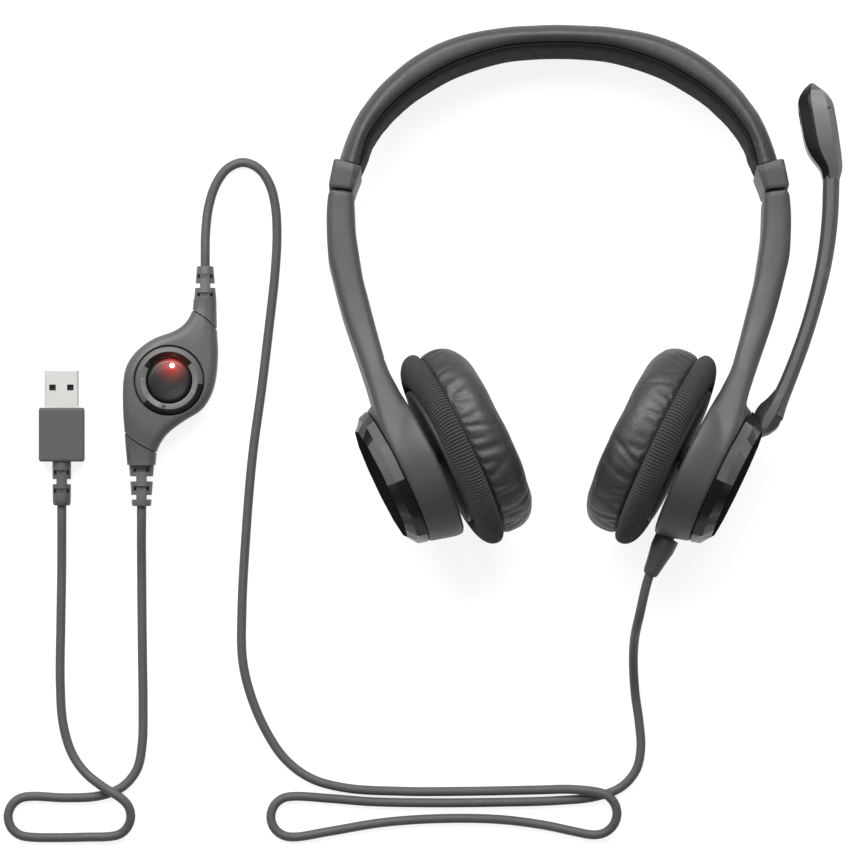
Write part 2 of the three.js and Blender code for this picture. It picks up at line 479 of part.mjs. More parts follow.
// ---------------------------------------------------------------- USB plug
const shellBox = box(PLUG_X - USB_W / 2, PLUG_X + USB_W / 2, 15.2, 28.2, PLUG_Z - USB_T / 2, PLUG_Z + USB_T / 2);
const shellBore = box(PLUG_X - USB_W / 2 + 0.5, PLUG_X + USB_W / 2 - 0.5, 15.9, 30, PLUG_Z - USB_T / 2 + 0.5, PLUG_Z + USB_T / 2 - 0.5);
const win = (x, z0, z1) => box(x - 1.1, x + 1.1, 20.9, 23.1, z0, z1);
add(desk, 'usb_shell', cut(shellBox, shellBore, win(PLUG_X - 3.15, PLUG_Z, 10), win(PLUG_X + 3.15, PLUG_Z, 10), win(PLUG_X - 3.15, -2, PLUG_Z), win(PLUG_X + 3.15, -2, PLUG_Z)), NICKEL);
add(desk, 'usb_tongue', box(PLUG_X - 5.1, PLUG_X + 5.1, 16.2, 27.6, PLUG_Z - 1.4, PLUG_Z + 0.4), DARK);
const molded = slab([[PLUG_X - 8, 14.9], [PLUG_X - 8, -4.2], [PLUG_X + 8, -4.2], [PLUG_X + 8, 14.9]], 0, 2 * PLUG_Z, 0.9);
add(desk, 'usb_overmould', molded, CABLE);
add(desk, 'usb_relief', (() => {
  const g = turned([[0, 0], [3.3, 0], [3.3, 2.6], [2.4, 2.7], [2.4, 3.6], [3.3, 3.7], [3.2, 5.5], [2.3, 5.6], [2.3, 7.6], [3.1, 7.7], [3.1, 10.0], [2.2, 10.1], [2.2, 11.6], [3.0, 11.7], [2.9, 15.2], [0, 15.2]], 12);
  g.rotateX(Math.PI / 2);
  g.translate(PLUG_X, -4.5, PLUG_Z);
  return g;
})(), CABLE);

// ---------------------------------------------------------------- cords
// a cord's centre line; stations crowd together where it bends
class CordLine extends THREE.Curve {
  constructor(points, count) {
    super();
    const fine = new THREE.CatmullRomCurve3(points.map((p) => new THREE.Vector3(...p)), false, 'centripetal');
    const n = 1200, pts = fine.getSpacedPoints(n), sum = [0];
    for (let i = 1; i <= n; i++) {
      const a = pts[Math.max(i - 2, 0)], b = pts[i], c = pts[Math.min(i + 2, n)];
      const turn = b.clone().sub(a).angleTo(c.clone().sub(b)) || 0;
      sum.push(sum[i - 1] + pts[i].distanceTo(pts[i - 1]) / 16 + Math.min(turn, 1) * 0.55);
    }
    this.pts = [];
    for (let k = 0, i = 0; k <= count; k++) {
      const want = sum[n] * k / count;
      while (i < n - 1 && sum[i + 1] < want) i++;
      const f = (want - sum[i]) / (sum[i + 1] - sum[i]);
      this.pts.push(pts[i].clone().lerp(pts[i + 1], Math.min(Math.max(f, 0), 1)));
    }
    this.count = count;
  }
  getPoint(t, target = new THREE.Vector3()) {
    const x = t * this.count, k = Math.min(Math.floor(x), this.count - 1);
    return target.copy(this.pts[k]).lerp(this.pts[k + 1], x - k);
  }
  getTangent(t, target = new THREE.Vector3()) {
    const k = Math.round(t * this.count);
    return target.copy(this.pts[Math.min(k + 1, this.count)]).sub(this.pts[Math.max(k - 1, 0)]).normalize();
  }
  getPointAt(u, target) { return this.getPoint(u, target); }
  getTangentAt(u, target) { return this.getTangent(u, target); }
  getSpacedPoints(n) { return this.getPoints(n); }
}
function cord(points, count) {
  const r = CORD_D / 2, face = new THREE.Shape();
  for (let i = 0; i < 8; i++) {
    const a = (i + 0.5) * Math.PI / 4;
    if (i) face.lineTo(r * Math.cos(a), r * Math.sin(a)); else face.moveTo(r * Math.cos(a), r * Math.sin(a));
  }
  return new THREE.ExtrudeGeometry(face, { steps: count, bevelEnabled: false, extrudePath: new CordLine(points, count) });
}
const z = CORD_Z;
// x, y and height of the headset cord, from the cup's strain relief to the control
const HEADSET_CORD = [RELIEF_TIP(), ...[
  [28.3, -57.6, 31.0], [26.9, -66.5, 18.5], [26.8, -76.0, 7.6], [27.6, -86.5, 2.4], [29.0, -96.5, z], [29.6, -105.5, z], [27.9, -113.4, z], [22.4, -119.6, z], [13.0, -122.9, z], [0.0, -124.2, z],
  [-20.3, -124.8, z], [-45.0, -125.0, z], [-66.0, -124.6, z], [-80.0, -123.5, z], [-93.6, -122.7, z], [-97.4, -123.5, z], [-100.3, -126.1, z], [-101.4, -129.9, z], [-100.3, -133.7, z], [-97.4, -136.3, z], [-93.6, -137.1, z],
  [-80.0, -135.0, z], [-62.0, -132.0, z], [-42.0, -130.6, z], [-20.3, -130.9, z], [-4.0, -133.0, z], [5.0, -134.9, z + 0.1], [13.1, -136.3, z + 0.5], [17.0, -135.4, z + 1.1], [19.9, -132.7, z + 2.0], [21.1, -128.9, z + 2.9], [20.2, -125.0, z + 3.5], [17.5, -122.1, z + 3.7], [13.7, -120.9, z + 3.4],
  [4.0, -120.1, z + 1.9], [-6.5, -120.4, z + 0.4], [-30.9, -120.9, z], [-55.6, -120.9, z], [-75.0, -119.7, z], [-87.4, -116.2, z], [-96.4, -109.4, z], [-103.4, -98.9, z], [-108.7, -86.2, z], [-111.4, -74.1, z],
  [-111.6, -56.4, z], [-110.2, -30.2, z], [-107.9, -2.6, z], [-104.5, 22.6, z], [-102.0, 43.4, z], [-99.9, 62.6, z], [-99.2, 76.7, z], [-99.9, 87.0, z], [-102.0, 94.4, z],
  [-105.9, 99.7, z], [-111.2, 101.7, z], [-116.5, 99.7, z], [-120.6, 94.4, z], [-123.3, 86.3, z + 0.6], [-124.4, 76.6, z + 2.4], [-124.5, 69.6, CORD_MID - 0.1], [-124.5, 65.2, CORD_MID]]];
const PLUG_CORD = [[-147.0, -20.2, CORD_MID], [-147.0, -24.8, CORD_MID - 0.1], [-147.1, -32.5, z + 2.0], [-147.1, -42.0, z + 0.3], [-147.0, -56.4, z], [-146.8, -74.4, z], [-146.6, -91.8, z], [-146.9, -104.0, z], [-148.8, -113.2, z], [-154.0, -119.4, z],
  [-162.0, -122.5, z], [-174.0, -123.2, z], [-186.6, -122.7, z], [-190.4, -123.5, z], [-193.3, -126.1, z], [-194.4, -129.9, z], [-193.3, -133.7, z], [-190.4, -136.3, z], [-186.6, -137.1, z],
  [-176.0, -137.3, z], [-166.5, -137.1, z + 0.2], [-158.6, -136.9, z + 0.5], [-154.7, -136.0, z + 1.1], [-151.9, -133.3, z + 2.0], [-150.8, -129.5, z + 3.0], [-151.8, -125.7, z + 3.8], [-154.6, -122.9, z + 4.1],
  [-160.6, -119.2, z + 3.3], [-167.0, -114.2, z + 1.5], [-171.8, -107.4, z + 0.2], [-174.9, -97.1, z], [-175.9, -82.9, z], [-175.7, -61.0, z], [-175.4, -43.3, z + 0.3], [-175.3, -32.0, z + 1.4], [-175.25, -24.6, PLUG_Z - 0.1], [-175.25, -20.0, PLUG_Z]];
function RELIEF_TIP() {
  headset.updateMatrixWorld(true);
  const m = new THREE.Matrix4().copy(cupMatrix);
  const tip = new THREE.Vector3(0, -glandRadius - 15.1, GLAND_AT).applyMatrix4(gland).applyMatrix4(m);
  tip.x = -tip.x;
  tip.applyMatrix4(headset.matrixWorld);
  return tip.toArray();
}
add(desk, 'headset_cord', cord(HEADSET_CORD, 64), CABLE);
add(desk, 'plug_cord', cord(PLUG_CORD, 30), CABLE);

// ---------------------------------------------------------------- origin at the middle of the headset's footprint
const ON_CORD = new Set(['headset_cord', 'plug_cord', 'control_rear', 'control_front', 'control_board', 'mute_switch', 'volume_rocker', 'mute_button', 'mute_led',
  'control_top_relief', 'control_bottom_relief', 'usb_shell', 'usb_tongue', 'usb_overmould', 'usb_relief']);
part.updateMatrixWorld(true);
const extent = new THREE.Box3();
part.traverse((o) => {
  if (o.isMesh && !ON_CORD.has(o.name)) extent.expandByObject(o, true);
});
const middle = extent.getCenter(new THREE.Vector3());
part.position.set(-middle.x, -middle.y, 0);

export default part;
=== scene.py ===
import bpy, bmesh, math, random
import numpy as np
from mathutils import Matrix, Vector, noise


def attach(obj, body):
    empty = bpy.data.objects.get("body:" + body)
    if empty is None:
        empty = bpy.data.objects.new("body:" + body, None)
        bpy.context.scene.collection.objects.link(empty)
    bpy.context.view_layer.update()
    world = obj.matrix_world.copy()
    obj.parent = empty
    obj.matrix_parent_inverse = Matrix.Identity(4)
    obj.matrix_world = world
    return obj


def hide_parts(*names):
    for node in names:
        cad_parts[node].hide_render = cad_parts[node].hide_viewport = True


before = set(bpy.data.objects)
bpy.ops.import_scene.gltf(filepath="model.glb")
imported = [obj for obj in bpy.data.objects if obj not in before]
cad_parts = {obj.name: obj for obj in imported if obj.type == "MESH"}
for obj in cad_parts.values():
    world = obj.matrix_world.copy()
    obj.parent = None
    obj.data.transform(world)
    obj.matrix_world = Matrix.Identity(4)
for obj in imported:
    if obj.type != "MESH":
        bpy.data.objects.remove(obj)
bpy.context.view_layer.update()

PI = math.pi

# ------------------------------------------------------------------ frames (mm in, metres out at the end)
LIE = math.radians(8.9)
CL, SL = math.cos(LIE), math.sin(LIE)
OFF = np.array([-9.300003, -52.796998, 0.0])
LIFT = 36.532


def H(p):
    """headset's own frame (x, height, towards the front) to the row frame"""
    p = np.asarray(p, float)
    x, u, w = p[..., 0], p[..., 1], p[..., 2]
    return np.stack([x, u * CL + w * SL, -u * SL + w * CL + LIFT], -1) + OFF


def D(p):
    """desk frame to the row frame"""
    return np.asarray(p, float) + OFF


SIG, TAU = math.radians(26.1), math.radians(1.8)
CUP_O = np.array([-50.9, -6.6, 0.0])
CUP_Z = np.array([math.cos(TAU) * math.cos(SIG), math.cos(TAU) * math.sin(SIG), -math.sin(TAU)])
CUP_Y = np.array([-math.sin(SIG), math.cos(SIG), 0.0])
CUP_X = np.cross(CUP_Y, CUP_Z)


def C(p):
    """left cup's frame to the headset's frame"""
    p = np.asarray(p, float)
    return CUP_O + p[..., 0:1] * CUP_X + p[..., 1:2] * CUP_Y + p[..., 2:3] * CUP_Z


def mx(p):
    q = np.array(p, float)
    q[..., 0] *= -1
    return q


# ------------------------------------------------------------------ camera first
cam_data = bpy.data.cameras.new("camera")
cam = bpy.data.objects.new("camera", cam_data)
bpy.context.collection.objects.link(cam)
cam_data.sensor_width = 36.0
cam_data.lens = 302.5
cam_data.clip_end = 20
cam.location = (-0.0561, -0.04405, 2.53)
cam.rotation_euler = (0, 0, 0)
bpy.context.scene.camera = cam


# ------------------------------------------------------------------ curve and mesh helpers
def catmull(points, per=12, closed=False):
    """centripetal Catmull-Rom through the points"""
    P = [np.asarray(p, float) for p in points]
    n = len(P)
    out = []
    for i in range(n if closed else n - 1):
        p1, p2 = P[i], P[(i + 1) % n]
        p0 = P[i - 1] if (closed or i > 0) else 2 * P[0] - P[1]
        p3 = P[(i + 2) % n] if (closed or i + 2 < n) else 2 * P[-1] - P[-2]
        d0 = max(np.linalg.norm(p1 - p0) ** 0.5, 1e-6)
        d1 = max(np.linalg.norm(p2 - p1) ** 0.5, 1e-6)
        d2 = max(np.linalg.norm(p3 - p2) ** 0.5, 1e-6)
        t1 = ((p1 - p0) / d0 - (p2 - p0) / (d0 + d1) + (p2 - p1) / d1) * d1
        t2 = ((p2 - p1) / d1 - (p3 - p1) / (d1 + d2) + (p3 - p2) / d2) * d1
        for k in range(per):
            t = k / per
            a = 2 * t ** 3 - 3 * t ** 2 + 1
            b = t ** 3 - 2 * t ** 2 + t
            c = -2 * t ** 3 + 3 * t ** 2
            d = t ** 3 - t ** 2
            out.append(a * p1 + b * t1 + c * p2 + d * t2)
    if not closed:
        out.append(P[-1])
    return np.array(out)


def resample(pts, count):
    """count + 1 points, evenly spaced along the line"""
    pts = np.asarray(pts, float)
    s = np.concatenate([[0], np.cumsum(np.linalg.norm(np.diff(pts, axis=0), axis=1))])
    t = np.linspace(0, s[-1], count + 1)
    return np.stack([np.interp(t, s, pts[:, k]) for k in range(pts.shape[1])], -1)


def length(pts):
    return float(np.linalg.norm(np.diff(np.asarray(pts), axis=0), axis=1).sum())


def fillet(poly, r, n=4, closed=True):
    """rounds a 2-D outline's corners; r is one radius, or one for each point"""
    P = [np.asarray(p, float) for p in poly]
    m = len(P)
    R = [r] * m if np.isscalar(r) else list(r)
    out = []
    for i, p in enumerate(P):
        if (not closed and i in (0, m - 1)) or R[i] <= 0:
            out.append(p)
            continue
        a, b = P[i - 1] - p, P[(i + 1) % m] - p
        la, lb = np.linalg.norm(a), np.linalg.norm(b)
        a, b = a / la, b / lb
        cosang = float(np.clip(a @ b, -1, 1))
        half = math.acos(cosang) / 2
        if half > PI / 2 - 0.02:
            out.append(p)
            continue
        cut = min(R[i] / math.tan(half), 0.47 * la, 0.47 * lb)
        for k in range(n + 1):
            t = k / n
            s, e = p + a * cut, p + b * cut
            out.append((1 - t) ** 2 * s + 2 * t * (1 - t) * p + t ** 2 * e)
    return np.array(out)


def turned(profile, seg=96, closed=None):
    """profile of (radius, height) about local z -> verts, faces"""
    prof = [tuple(map(float, p)) for p in profile]
    closed = prof[0][0] > 1e-6 if closed is None else closed
    V, F, ring = [], [], []
    for r, z in prof:
        if r < 1e-6:
            ring.append([len(V)] * seg)
            V.append((0, 0, z))
        else:
            base = len(V)
            ring.append(list(range(base, base + seg)))
            for i in range(seg):
                a = 2 * PI * i / seg
                V.append((r * math.cos(a), r * math.sin(a), z))
    pairs = list(zip(ring, ring[1:]))
    if closed:
        pairs.append((ring[-1], ring[0]))
    for a, b in pairs:
        for i in range(seg):
            j = (i + 1) % seg
            f = [a[i], a[j], b[j], b[i]]
            g = [v for k, v in enumerate(f) if v != f[k - 1]]
            if len(set(g)) >= 3:
                F.append(g)
    return np.array(V, float), F


def loft(rings, closed_ends=True):
    """rings is (stations, points, 3)"""
    R = np.asarray(rings, float)
    s, n, _ = R.shape
    V = R.reshape(-1, 3)
    F = []
    for k in range(s - 1):
        for i in range(n):
            j = (i + 1) % n
            F.append([k * n + i, k * n + j, (k + 1) * n + j, (k + 1) * n + i])
    if closed_ends:
        F.append(list(range(n))[::-1])
        F.append(list(range((s - 1) * n, s * n)))
    return V, F


def section(o, u, v, pts):
    o, u, v = (np.asarray(a, float) for a in (o, u, v))
    pts = np.asarray(pts, float)
    return o + pts[:, 0:1] * u + pts[:, 1:2] * v


def soft_rect(p0, p1, q0, q1, r, n=4):
    return fillet([(p0, q0), (p1, q0), (p1, q1), (p0, q1)], r, n)


def signed_volume(me):
    me.calc_loop_triangles()
    co = np.zeros(len(me.vertices) * 3)
    me.vertices.foreach_get("co", co)
    co = co.reshape(-1, 3)
    t = np.zeros(len(me.loop_triangles) * 3, int)
    me.loop_triangles.foreach_get("vertices", t)
    a, b, c = co[t.reshape(-1, 3)].transpose(1, 0, 2)
    return float(np.einsum("ij,ij->", a, np.cross(b, c)))


def mesh_object(name, V, F, angle=35):
    me = bpy.data.meshes.new(name)
    me.from_pydata((np.asarray(V) * 0.001).tolist(), [], [list(map(int, f)) for f in F])
    me.validate()
    if signed_volume(me) < 0:
        me.flip_normals()
    o = bpy.data.objects.new(name, me)
    bpy.context.collection.objects.link(o)
    shade(o, angle)
    return o


def shade(o, angle=35):
    me = o.data
    me.polygons.foreach_set("use_smooth", [True] * len(me.polygons))
    me.set_sharp_from_angle(angle=math.radians(angle))
    me.update()


def apply_mods(o):
    dg = bpy.context.evaluated_depsgraph_get()
    me = bpy.data.meshes.new_from_object(o.evaluated_get(dg))
    o.modifiers.clear()
    old = o.data
    o.data = me
    bpy.data.meshes.remove(old)
    return o


def boolean(o, cutters, op="DIFFERENCE", angle=35):
    for c in cutters:
        m = o.modifiers.new("b", "BOOLEAN")
        m.operation = op
        m.solver = "MANIFOLD"
        m.object = c
    apply_mods(o)
    for c in cutters:
        bpy.data.objects.remove(c, do_unlink=True)
    shade(o, angle)
    return o


def block(x0, x1, y0, y1, z0, z1, f=D):
    v = [(x, y, z) for z in (z0, z1) for y in (y0, y1) for x in (x0, x1)]
    faces = [[0, 2, 3, 1], [4, 5, 7, 6], [0, 1, 5, 4], [2, 6, 7, 3], [0, 4, 6, 2], [1, 3, 7, 5]]
    return mesh_object("cutter", f(np.array(v, float)), faces)


def bevel(o, width, seg=2, angle=40):
    m = o.modifiers.new("bevel", "BEVEL")
    m.width = width * 0.001
    m.segments = seg
    m.limit_method = "ANGLE"
    m.angle_limit = math.radians(angle)
    m.harden_normals = False
    return o


def finish(o, mat, body, nodes=()):
    o.data.materials.clear()
    o.data.materials.append(mat)
    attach(o, body)
    if nodes:
        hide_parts(*nodes)
    return o


def duplicate(o, name):
    c = o.copy()
    c.data = o.data.copy()
    c.name = name
    bpy.context.collection.objects.link(c)
    return c


def mirrored(o, name):
    """mirror image across the headset's middle plane, which is x = OFF x in the row frame"""
    c = duplicate(o, name)
    me = c.data
    co = np.zeros(len(me.vertices) * 3)
    me.vertices.foreach_get("co", co)
    co = co.reshape(-1, 3)
    co[:, 0] = 2 * OFF[0] * 0.001 - co[:, 0]
    me.vertices.foreach_set("co", co.ravel())
    me.flip_normals()
    me.update()
    return c


# ------------------------------------------------------------------ materials
def new_mat(name):
    m = bpy.data.materials.new(name)
    m.use_nodes = True
    nt = m.node_tree
    return m, nt, nt.nodes["Principled BSDF"]


def node(nt, kind, **inputs):
    n = nt.nodes.new(kind)
    for k, v in inputs.items():
        n.inputs[k.replace("_", " ")].default_value = v
    return n


def coords(nt):
    return node(nt, "ShaderNodeTexCoord").outputs["Object"]


def tex_noise(nt, vec, scale, detail=3.0, rough=0.5):
    n = node(nt, "ShaderNodeTexNoise", Scale=scale, Detail=detail, Roughness=rough)
    nt.links.new(vec, n.inputs["Vector"])
    return n.outputs["Fac"]


def ramp(nt, fac, stops):
    r = nt.nodes.new("ShaderNodeValToRGB")
    e = r.color_ramp.elements
    while len(e) < len(stops):
        e.new(0.5)
    for el, (pos, col) in zip(e, stops):
        el.position = pos
        el.color = (*col, 1) if len(col) == 3 else col
    nt.links.new(fac, r.inputs["Fac"])
    return r.outputs["Color"]


def grey(v, w=None):
    return (v, v, v * 0.97) if w is None else (v, v, w)


def map_range(nt, fac, a, b, lo=0.0, hi=1.0):
    r = nt.nodes.new("ShaderNodeMapRange")
    r.inputs["From Min"].default_value = lo
    r.inputs["From Max"].default_value = hi
    r.inputs["To Min"].default_value = a
    r.inputs["To Max"].default_value = b
    nt.links.new(fac, r.inputs["Value"])
    return r.outputs["Result"]


def math_node(nt, op, a, b=None):
    n = nt.nodes.new("ShaderNodeMath")
    n.operation = op
    for k, v in enumerate((a, b)):
        if v is None:
            continue
        if isinstance(v, (int, float)):
            n.inputs[k].default_value = v
        else:
            nt.links.new(v, n.inputs[k])
    return n.outputs[0]


def mix_colour(nt, fac, a, b):
    n = nt.nodes.new("ShaderNodeMix")
    n.data_type = "RGBA"
    nt.links.new(fac, n.inputs["Factor"])
    for k, v in ((6, a), (7, b)):
        if isinstance(v, tuple):
            n.inputs[k].default_value = (*v, 1) if len(v) == 3 else v
        else:
            nt.links.new(v, n.inputs[k])
    return n.outputs[2]


def bump(nt, b, height, strength, distance, chain=None):
    n = node(nt, "ShaderNodeBump", Strength=strength, Distance=distance)
    nt.links.new(height, n.inputs["Height"])
    if chain is not None:
        nt.links.new(chain, n.inputs["Normal"])
    nt.links.new(n.outputs["Normal"], b.inputs["Normal"])
    return n.outputs["Normal"]


def lighter_edges(nt, colour, light, amount=0.5):
    """slightly lighter along the raised edges"""
    g = nt.nodes.new("ShaderNodeNewGeometry")
    f = map_range(nt, g.outputs["Pointiness"], 0.0, amount, 0.515, 0.56)
    return mix_colour(nt, f, colour, light)


def moulded(name, dark, light, rough=(0.40, 0.52), grain=2600, depth=0.00005, strength=0.35, edge_lift=0.45, edge_lift_colour=None, metallic=0.0):
    m, nt, b = new_mat(name)
    v = coords(nt)
    broad = tex_noise(nt, v, 38, 3)
    fine = tex_noise(nt, v, grain, 2)
    col = ramp(nt, broad, [(0.3, grey(dark)), (0.7, grey(light))])
    speck = ramp(nt, fine, [(0.35, grey(dark * 0.82)), (0.65, grey(light * 1.18))])
    half = node(nt, "ShaderNodeMix")
    col = mix_colour(nt, map_range(nt, fine, 0.0, 0.55, 0.35, 0.7), col, speck)
    nt.nodes.remove(half)
    # raised edges are coloured lighter
    if edge_lift:
        col = lighter_edges(nt, col, grey(edge_lift_colour or light * 1.7), edge_lift)
    nt.links.new(col, b.inputs["Base Color"])
    nt.links.new(map_range(nt, tex_noise(nt, v, 120, 3), rough[0], rough[1], 0.3, 0.7), b.inputs["Roughness"])
    b.inputs["Metallic"].default_value = metallic
    b.inputs["Specular IOR Level"].default_value = 0.4
    bump(nt, b, fine, strength, depth)
    return m


GRAPHITE = moulded("graphite_plastic", 0.039, 0.049, rough=(0.47, 0.56), strength=0.3)
ROOT = moulded("boom_root_plastic", 0.020, 0.027, rough=(0.46, 0.55), strength=0.2)
GRAPHITE_SOFT = moulded("graphite_control", 0.058, 0.070, rough=(0.42, 0.52), strength=0.22)
DARK = moulded("dark_plastic", 0.012, 0.018, rough=(0.5, 0.62), edge_lift=0.2, edge_lift_colour=0.03)
CABLE = moulded("cable_jacket", 0.050, 0.062, rough=(0.50, 0.62), grain=1700, strength=0.25, edge_lift=0.0)
MOULD = moulded("cable_moulding", 0.044, 0.054, rough=(0.46, 0.58), grain=2000, strength=0.28, edge_lift=0.4)


def gloss(name, base, rough=(0.05, 0.13), coat=0.35, spec=0.5):
    m, nt, b = new_mat(name)
    v = coords(nt)
    f = tex_noise(nt, v, 60, 2)
    nt.links.new(ramp(nt, f, [(0.3, grey(base * 0.8)), (0.7, grey(base * 1.2))]), b.inputs["Base Color"])
    nt.links.new(map_range(nt, tex_noise(nt, v, 260, 4), rough[0], rough[1], 0.35, 0.75), b.inputs["Roughness"])
    b.inputs["Coat Weight"].default_value = coat
    b.inputs["Specular IOR Level"].default_value = spec
    b.inputs["Coat Roughness"].default_value = 0.12
    bump(nt, b, tex_noise(nt, v, 90, 2), 0.12, 0.00006)
    return m


GLOSS = gloss("gloss_black", 0.009, rough=(0.18, 0.28), coat=0.0, spec=0.14)
SATIN_BLACK = gloss("satin_black", 0.011, rough=(0.4, 0.5), coat=0.0, spec=0.0)
# painted highlight: lighter gloss for the cover facets that catch the light
GLOSS_FACET_PAINTED_HIGHLIGHT = gloss("gloss_facet_painted_highlight", 0.085, rough=(0.22, 0.32), coat=0.0, spec=0.25)
SMOKED = gloss("smoked_gloss", 0.010, rough=(0.30, 0.38), coat=0.0, spec=0.4)
SEMI = gloss("graphite_semigloss", 0.060, rough=(0.28, 0.38), coat=0.1, spec=0.4)
SEMI_DARK = gloss("dark_semigloss", 0.009, rough=(0.28, 0.38), coat=0.0, spec=0.2)


def leather(name="leatherette", lo=0.018, hi=0.028, spec=0.6, rough=(0.45, 0.56)):
    m, nt, b = new_mat(name)
    v = coords(nt)
    vor = node(nt, "ShaderNodeTexVoronoi", Scale=1250.0)
    vor.feature = "DISTANCE_TO_EDGE"
    warp = nt.nodes.new("ShaderNodeVectorMath")
    warp.operation = "MULTIPLY_ADD"
    nz = node(nt, "ShaderNodeTexNoise", Scale=700.0, Detail=2.0)
    nt.links.new(v, nz.inputs["Vector"])
    nt.links.new(nz.outputs["Color"], warp.inputs[0])
    warp.inputs[1].default_value = (0.0006, 0.0006, 0.0006)
    nt.links.new(v, warp.inputs[2])
    nt.links.new(warp.outputs[0], vor.inputs["Vector"])
    grain = map_range(nt, vor.outputs["Distance"], 0.0, 1.0, 0.0, 0.16)
    broad = tex_noise(nt, v, 60, 4)
    col = ramp(nt, broad, [(0.3, grey(lo)), (0.7, grey(hi))])
    col = mix_colour(nt, grain, grey(lo * 0.6), col)
    nt.links.new(col, b.inputs["Base Color"])
    nt.links.new(map_range(nt, tex_noise(nt, v, 420, 3), rough[0], rough[1], 0.3, 0.7), b.inputs["Roughness"])
    b.inputs["Specular IOR Level"].default_value = spec
    c = bump(nt, b, tex_noise(nt, v, 210, 4), 0.35, 0.0003)
    bump(nt, b, grain, 0.45, 0.00007, c)
    return m


LEATHER = leather()
# painted shade: a darker copy of the leatherette for the pad's inner side, with almost no specular
LEATHER_PAD_PAINTED_SHADE = leather("leatherette_pad_painted_shade", 0.016, 0.021, 0.02, (0.5, 0.62))


def knit():
    """the ring's own UVs count ribs along u and stitches along v"""
    m, nt, b = new_mat("knit")
    uv = nt.nodes.new("ShaderNodeUVMap")
    uv.uv_map = "knit"
    sep = nt.nodes.new("ShaderNodeSeparateXYZ")
    nt.links.new(uv.outputs["UV"], sep.inputs[0])
    u, w = sep.outputs["X"], sep.outputs["Y"]
    rib = math_node(nt, "ABSOLUTE", math_node(nt, "SINE", math_node(nt, "MULTIPLY", u, PI)))
    stitch = math_node(nt, "ABSOLUTE", math_node(nt, "SINE", math_node(nt, "MULTIPLY", w, PI)))
    valley = map_range(nt, rib, 1.0, 0.0, 0.15, 0.62)
    hole = math_node(nt, "MULTIPLY", valley, map_range(nt, stitch, 0.0, 1.0, 0.45, 0.9))
    v = coords(nt)
    fuzz = tex_noise(nt, v, 3200, 3)
    col = ramp(nt, fuzz, [(0.3, grey(0.012)), (0.7, grey(0.030))])
    # painted shade: darker colour in the rib valleys, darker still in the stitch holes
    col = mix_colour(nt, valley, col, grey(0.006))
    col = mix_colour(nt, hole, col, grey(0.0015))
    nt.links.new(col, b.inputs["Base Color"])
    b.inputs["Roughness"].default_value = 0.82
    b.inputs["Sheen Weight"].default_value = 0.1
    b.inputs["Sheen Roughness"].default_value = 0.5
    h = math_node(nt, "SUBTRACT", math_node(nt, "ADD", math_node(nt, "MULTIPLY", rib, 0.8), math_node(nt, "MULTIPLY", fuzz, 0.35)), math_node(nt, "MULTIPLY", hole, 0.9))
    bump(nt, b, h, 0.6, 0.00025)
    return m


KNIT = knit()


def weave(name, base, scale):
    m, nt, b = new_mat(name)
    v = coords(nt)
    vor = node(nt, "ShaderNodeTexVoronoi", Scale=scale)
    nt.links.new(v, vor.inputs["Vector"])
    f = map_range(nt, vor.outputs["Distance"], 0.0, 1.0, 0.1, 0.6)
    nt.links.new(mix_colour(nt, f, grey(base * 0.25), grey(base)), b.inputs["Base Color"])
    b.inputs["Roughness"].default_value = 0.85
    bump(nt, b, f, 0.5, 0.0001)
    return m


CLOTH = weave("speaker_cloth", 0.02, 1600)


def metal(name, base, rough, stretch=(1, 1, 1), grain=900, depth=0.08):
    m, nt, b = new_mat(name)
    v = coords(nt)
    mp = nt.nodes.new("ShaderNodeMapping")
    mp.inputs["Scale"].default_value = stretch
    nt.links.new(v, mp.inputs["Vector"])
    f = tex_noise(nt, mp.outputs[0], grain, 4)
    nt.links.new(ramp(nt, f, [(0.25, grey(base * (1 - depth))), (0.75, grey(base * (1 + depth * 0.6)))]), b.inputs["Base Color"])
    nt.links.new(map_range(nt, f, rough * (1 - 2 * depth), rough * (1 + 2 * depth), 0.3, 0.7), b.inputs["Roughness"])
    b.inputs["Metallic"].default_value = 1.0
    bump(nt, b, f, depth, 0.00003)
    return m


STEEL = metal("spring_steel", 0.55, 0.3, (6, 1, 6))
MAGNET = metal("magnet_metal", 0.4, 0.35)
NICKEL = metal("nickel", 0.56, 0.42, (1, 5, 1), grain=60, depth=0.01)


def board():
    m, nt, b = new_mat("circuit_board")
    v = coords(nt)
    f = tex_noise(nt, v, 500, 2)
    nt.links.new(ramp(nt, f, [(0.45, (0.01, 0.09, 0.03)), (0.55, (0.02, 0.16, 0.06))]), b.inputs["Base Color"])
    b.inputs["Roughness"].default_value = 0.35
    return m


BOARD = board()

DIAL = np.array([-137.0, 24.4])
LED = np.array([-135.9, 29.7])


def painted_lamp_glow(name, base_mat, reach, strength, z=13.6):
    """painted glow: the plastic emits the red lamp's light as its own, falling off with the distance to the lamp"""
    m = base_mat.copy()
    m.name = name
    nt = m.node_tree
    b = nt.nodes["Principled BSDF"]
    v = coords(nt)
    d = nt.nodes.new("ShaderNodeVectorMath")
    d.operation = "DISTANCE"
    nt.links.new(v, d.inputs[0])
    d.inputs[1].default_value = tuple(D([LED[0], LED[1], z]) * 0.001)
    f = map_range(nt, d.outputs["Value"], 1.0, 0.0, 0.0, reach * 0.001)
    f = math_node(nt, "POWER", f, 3.0)
    nt.links.new(mix_colour(nt, f, (0.0, 0.0, 0.0), (1.0, 0.05, 0.02)), b.inputs["Emission Color"])
    b.inputs["Emission Strength"].default_value = strength
    return m


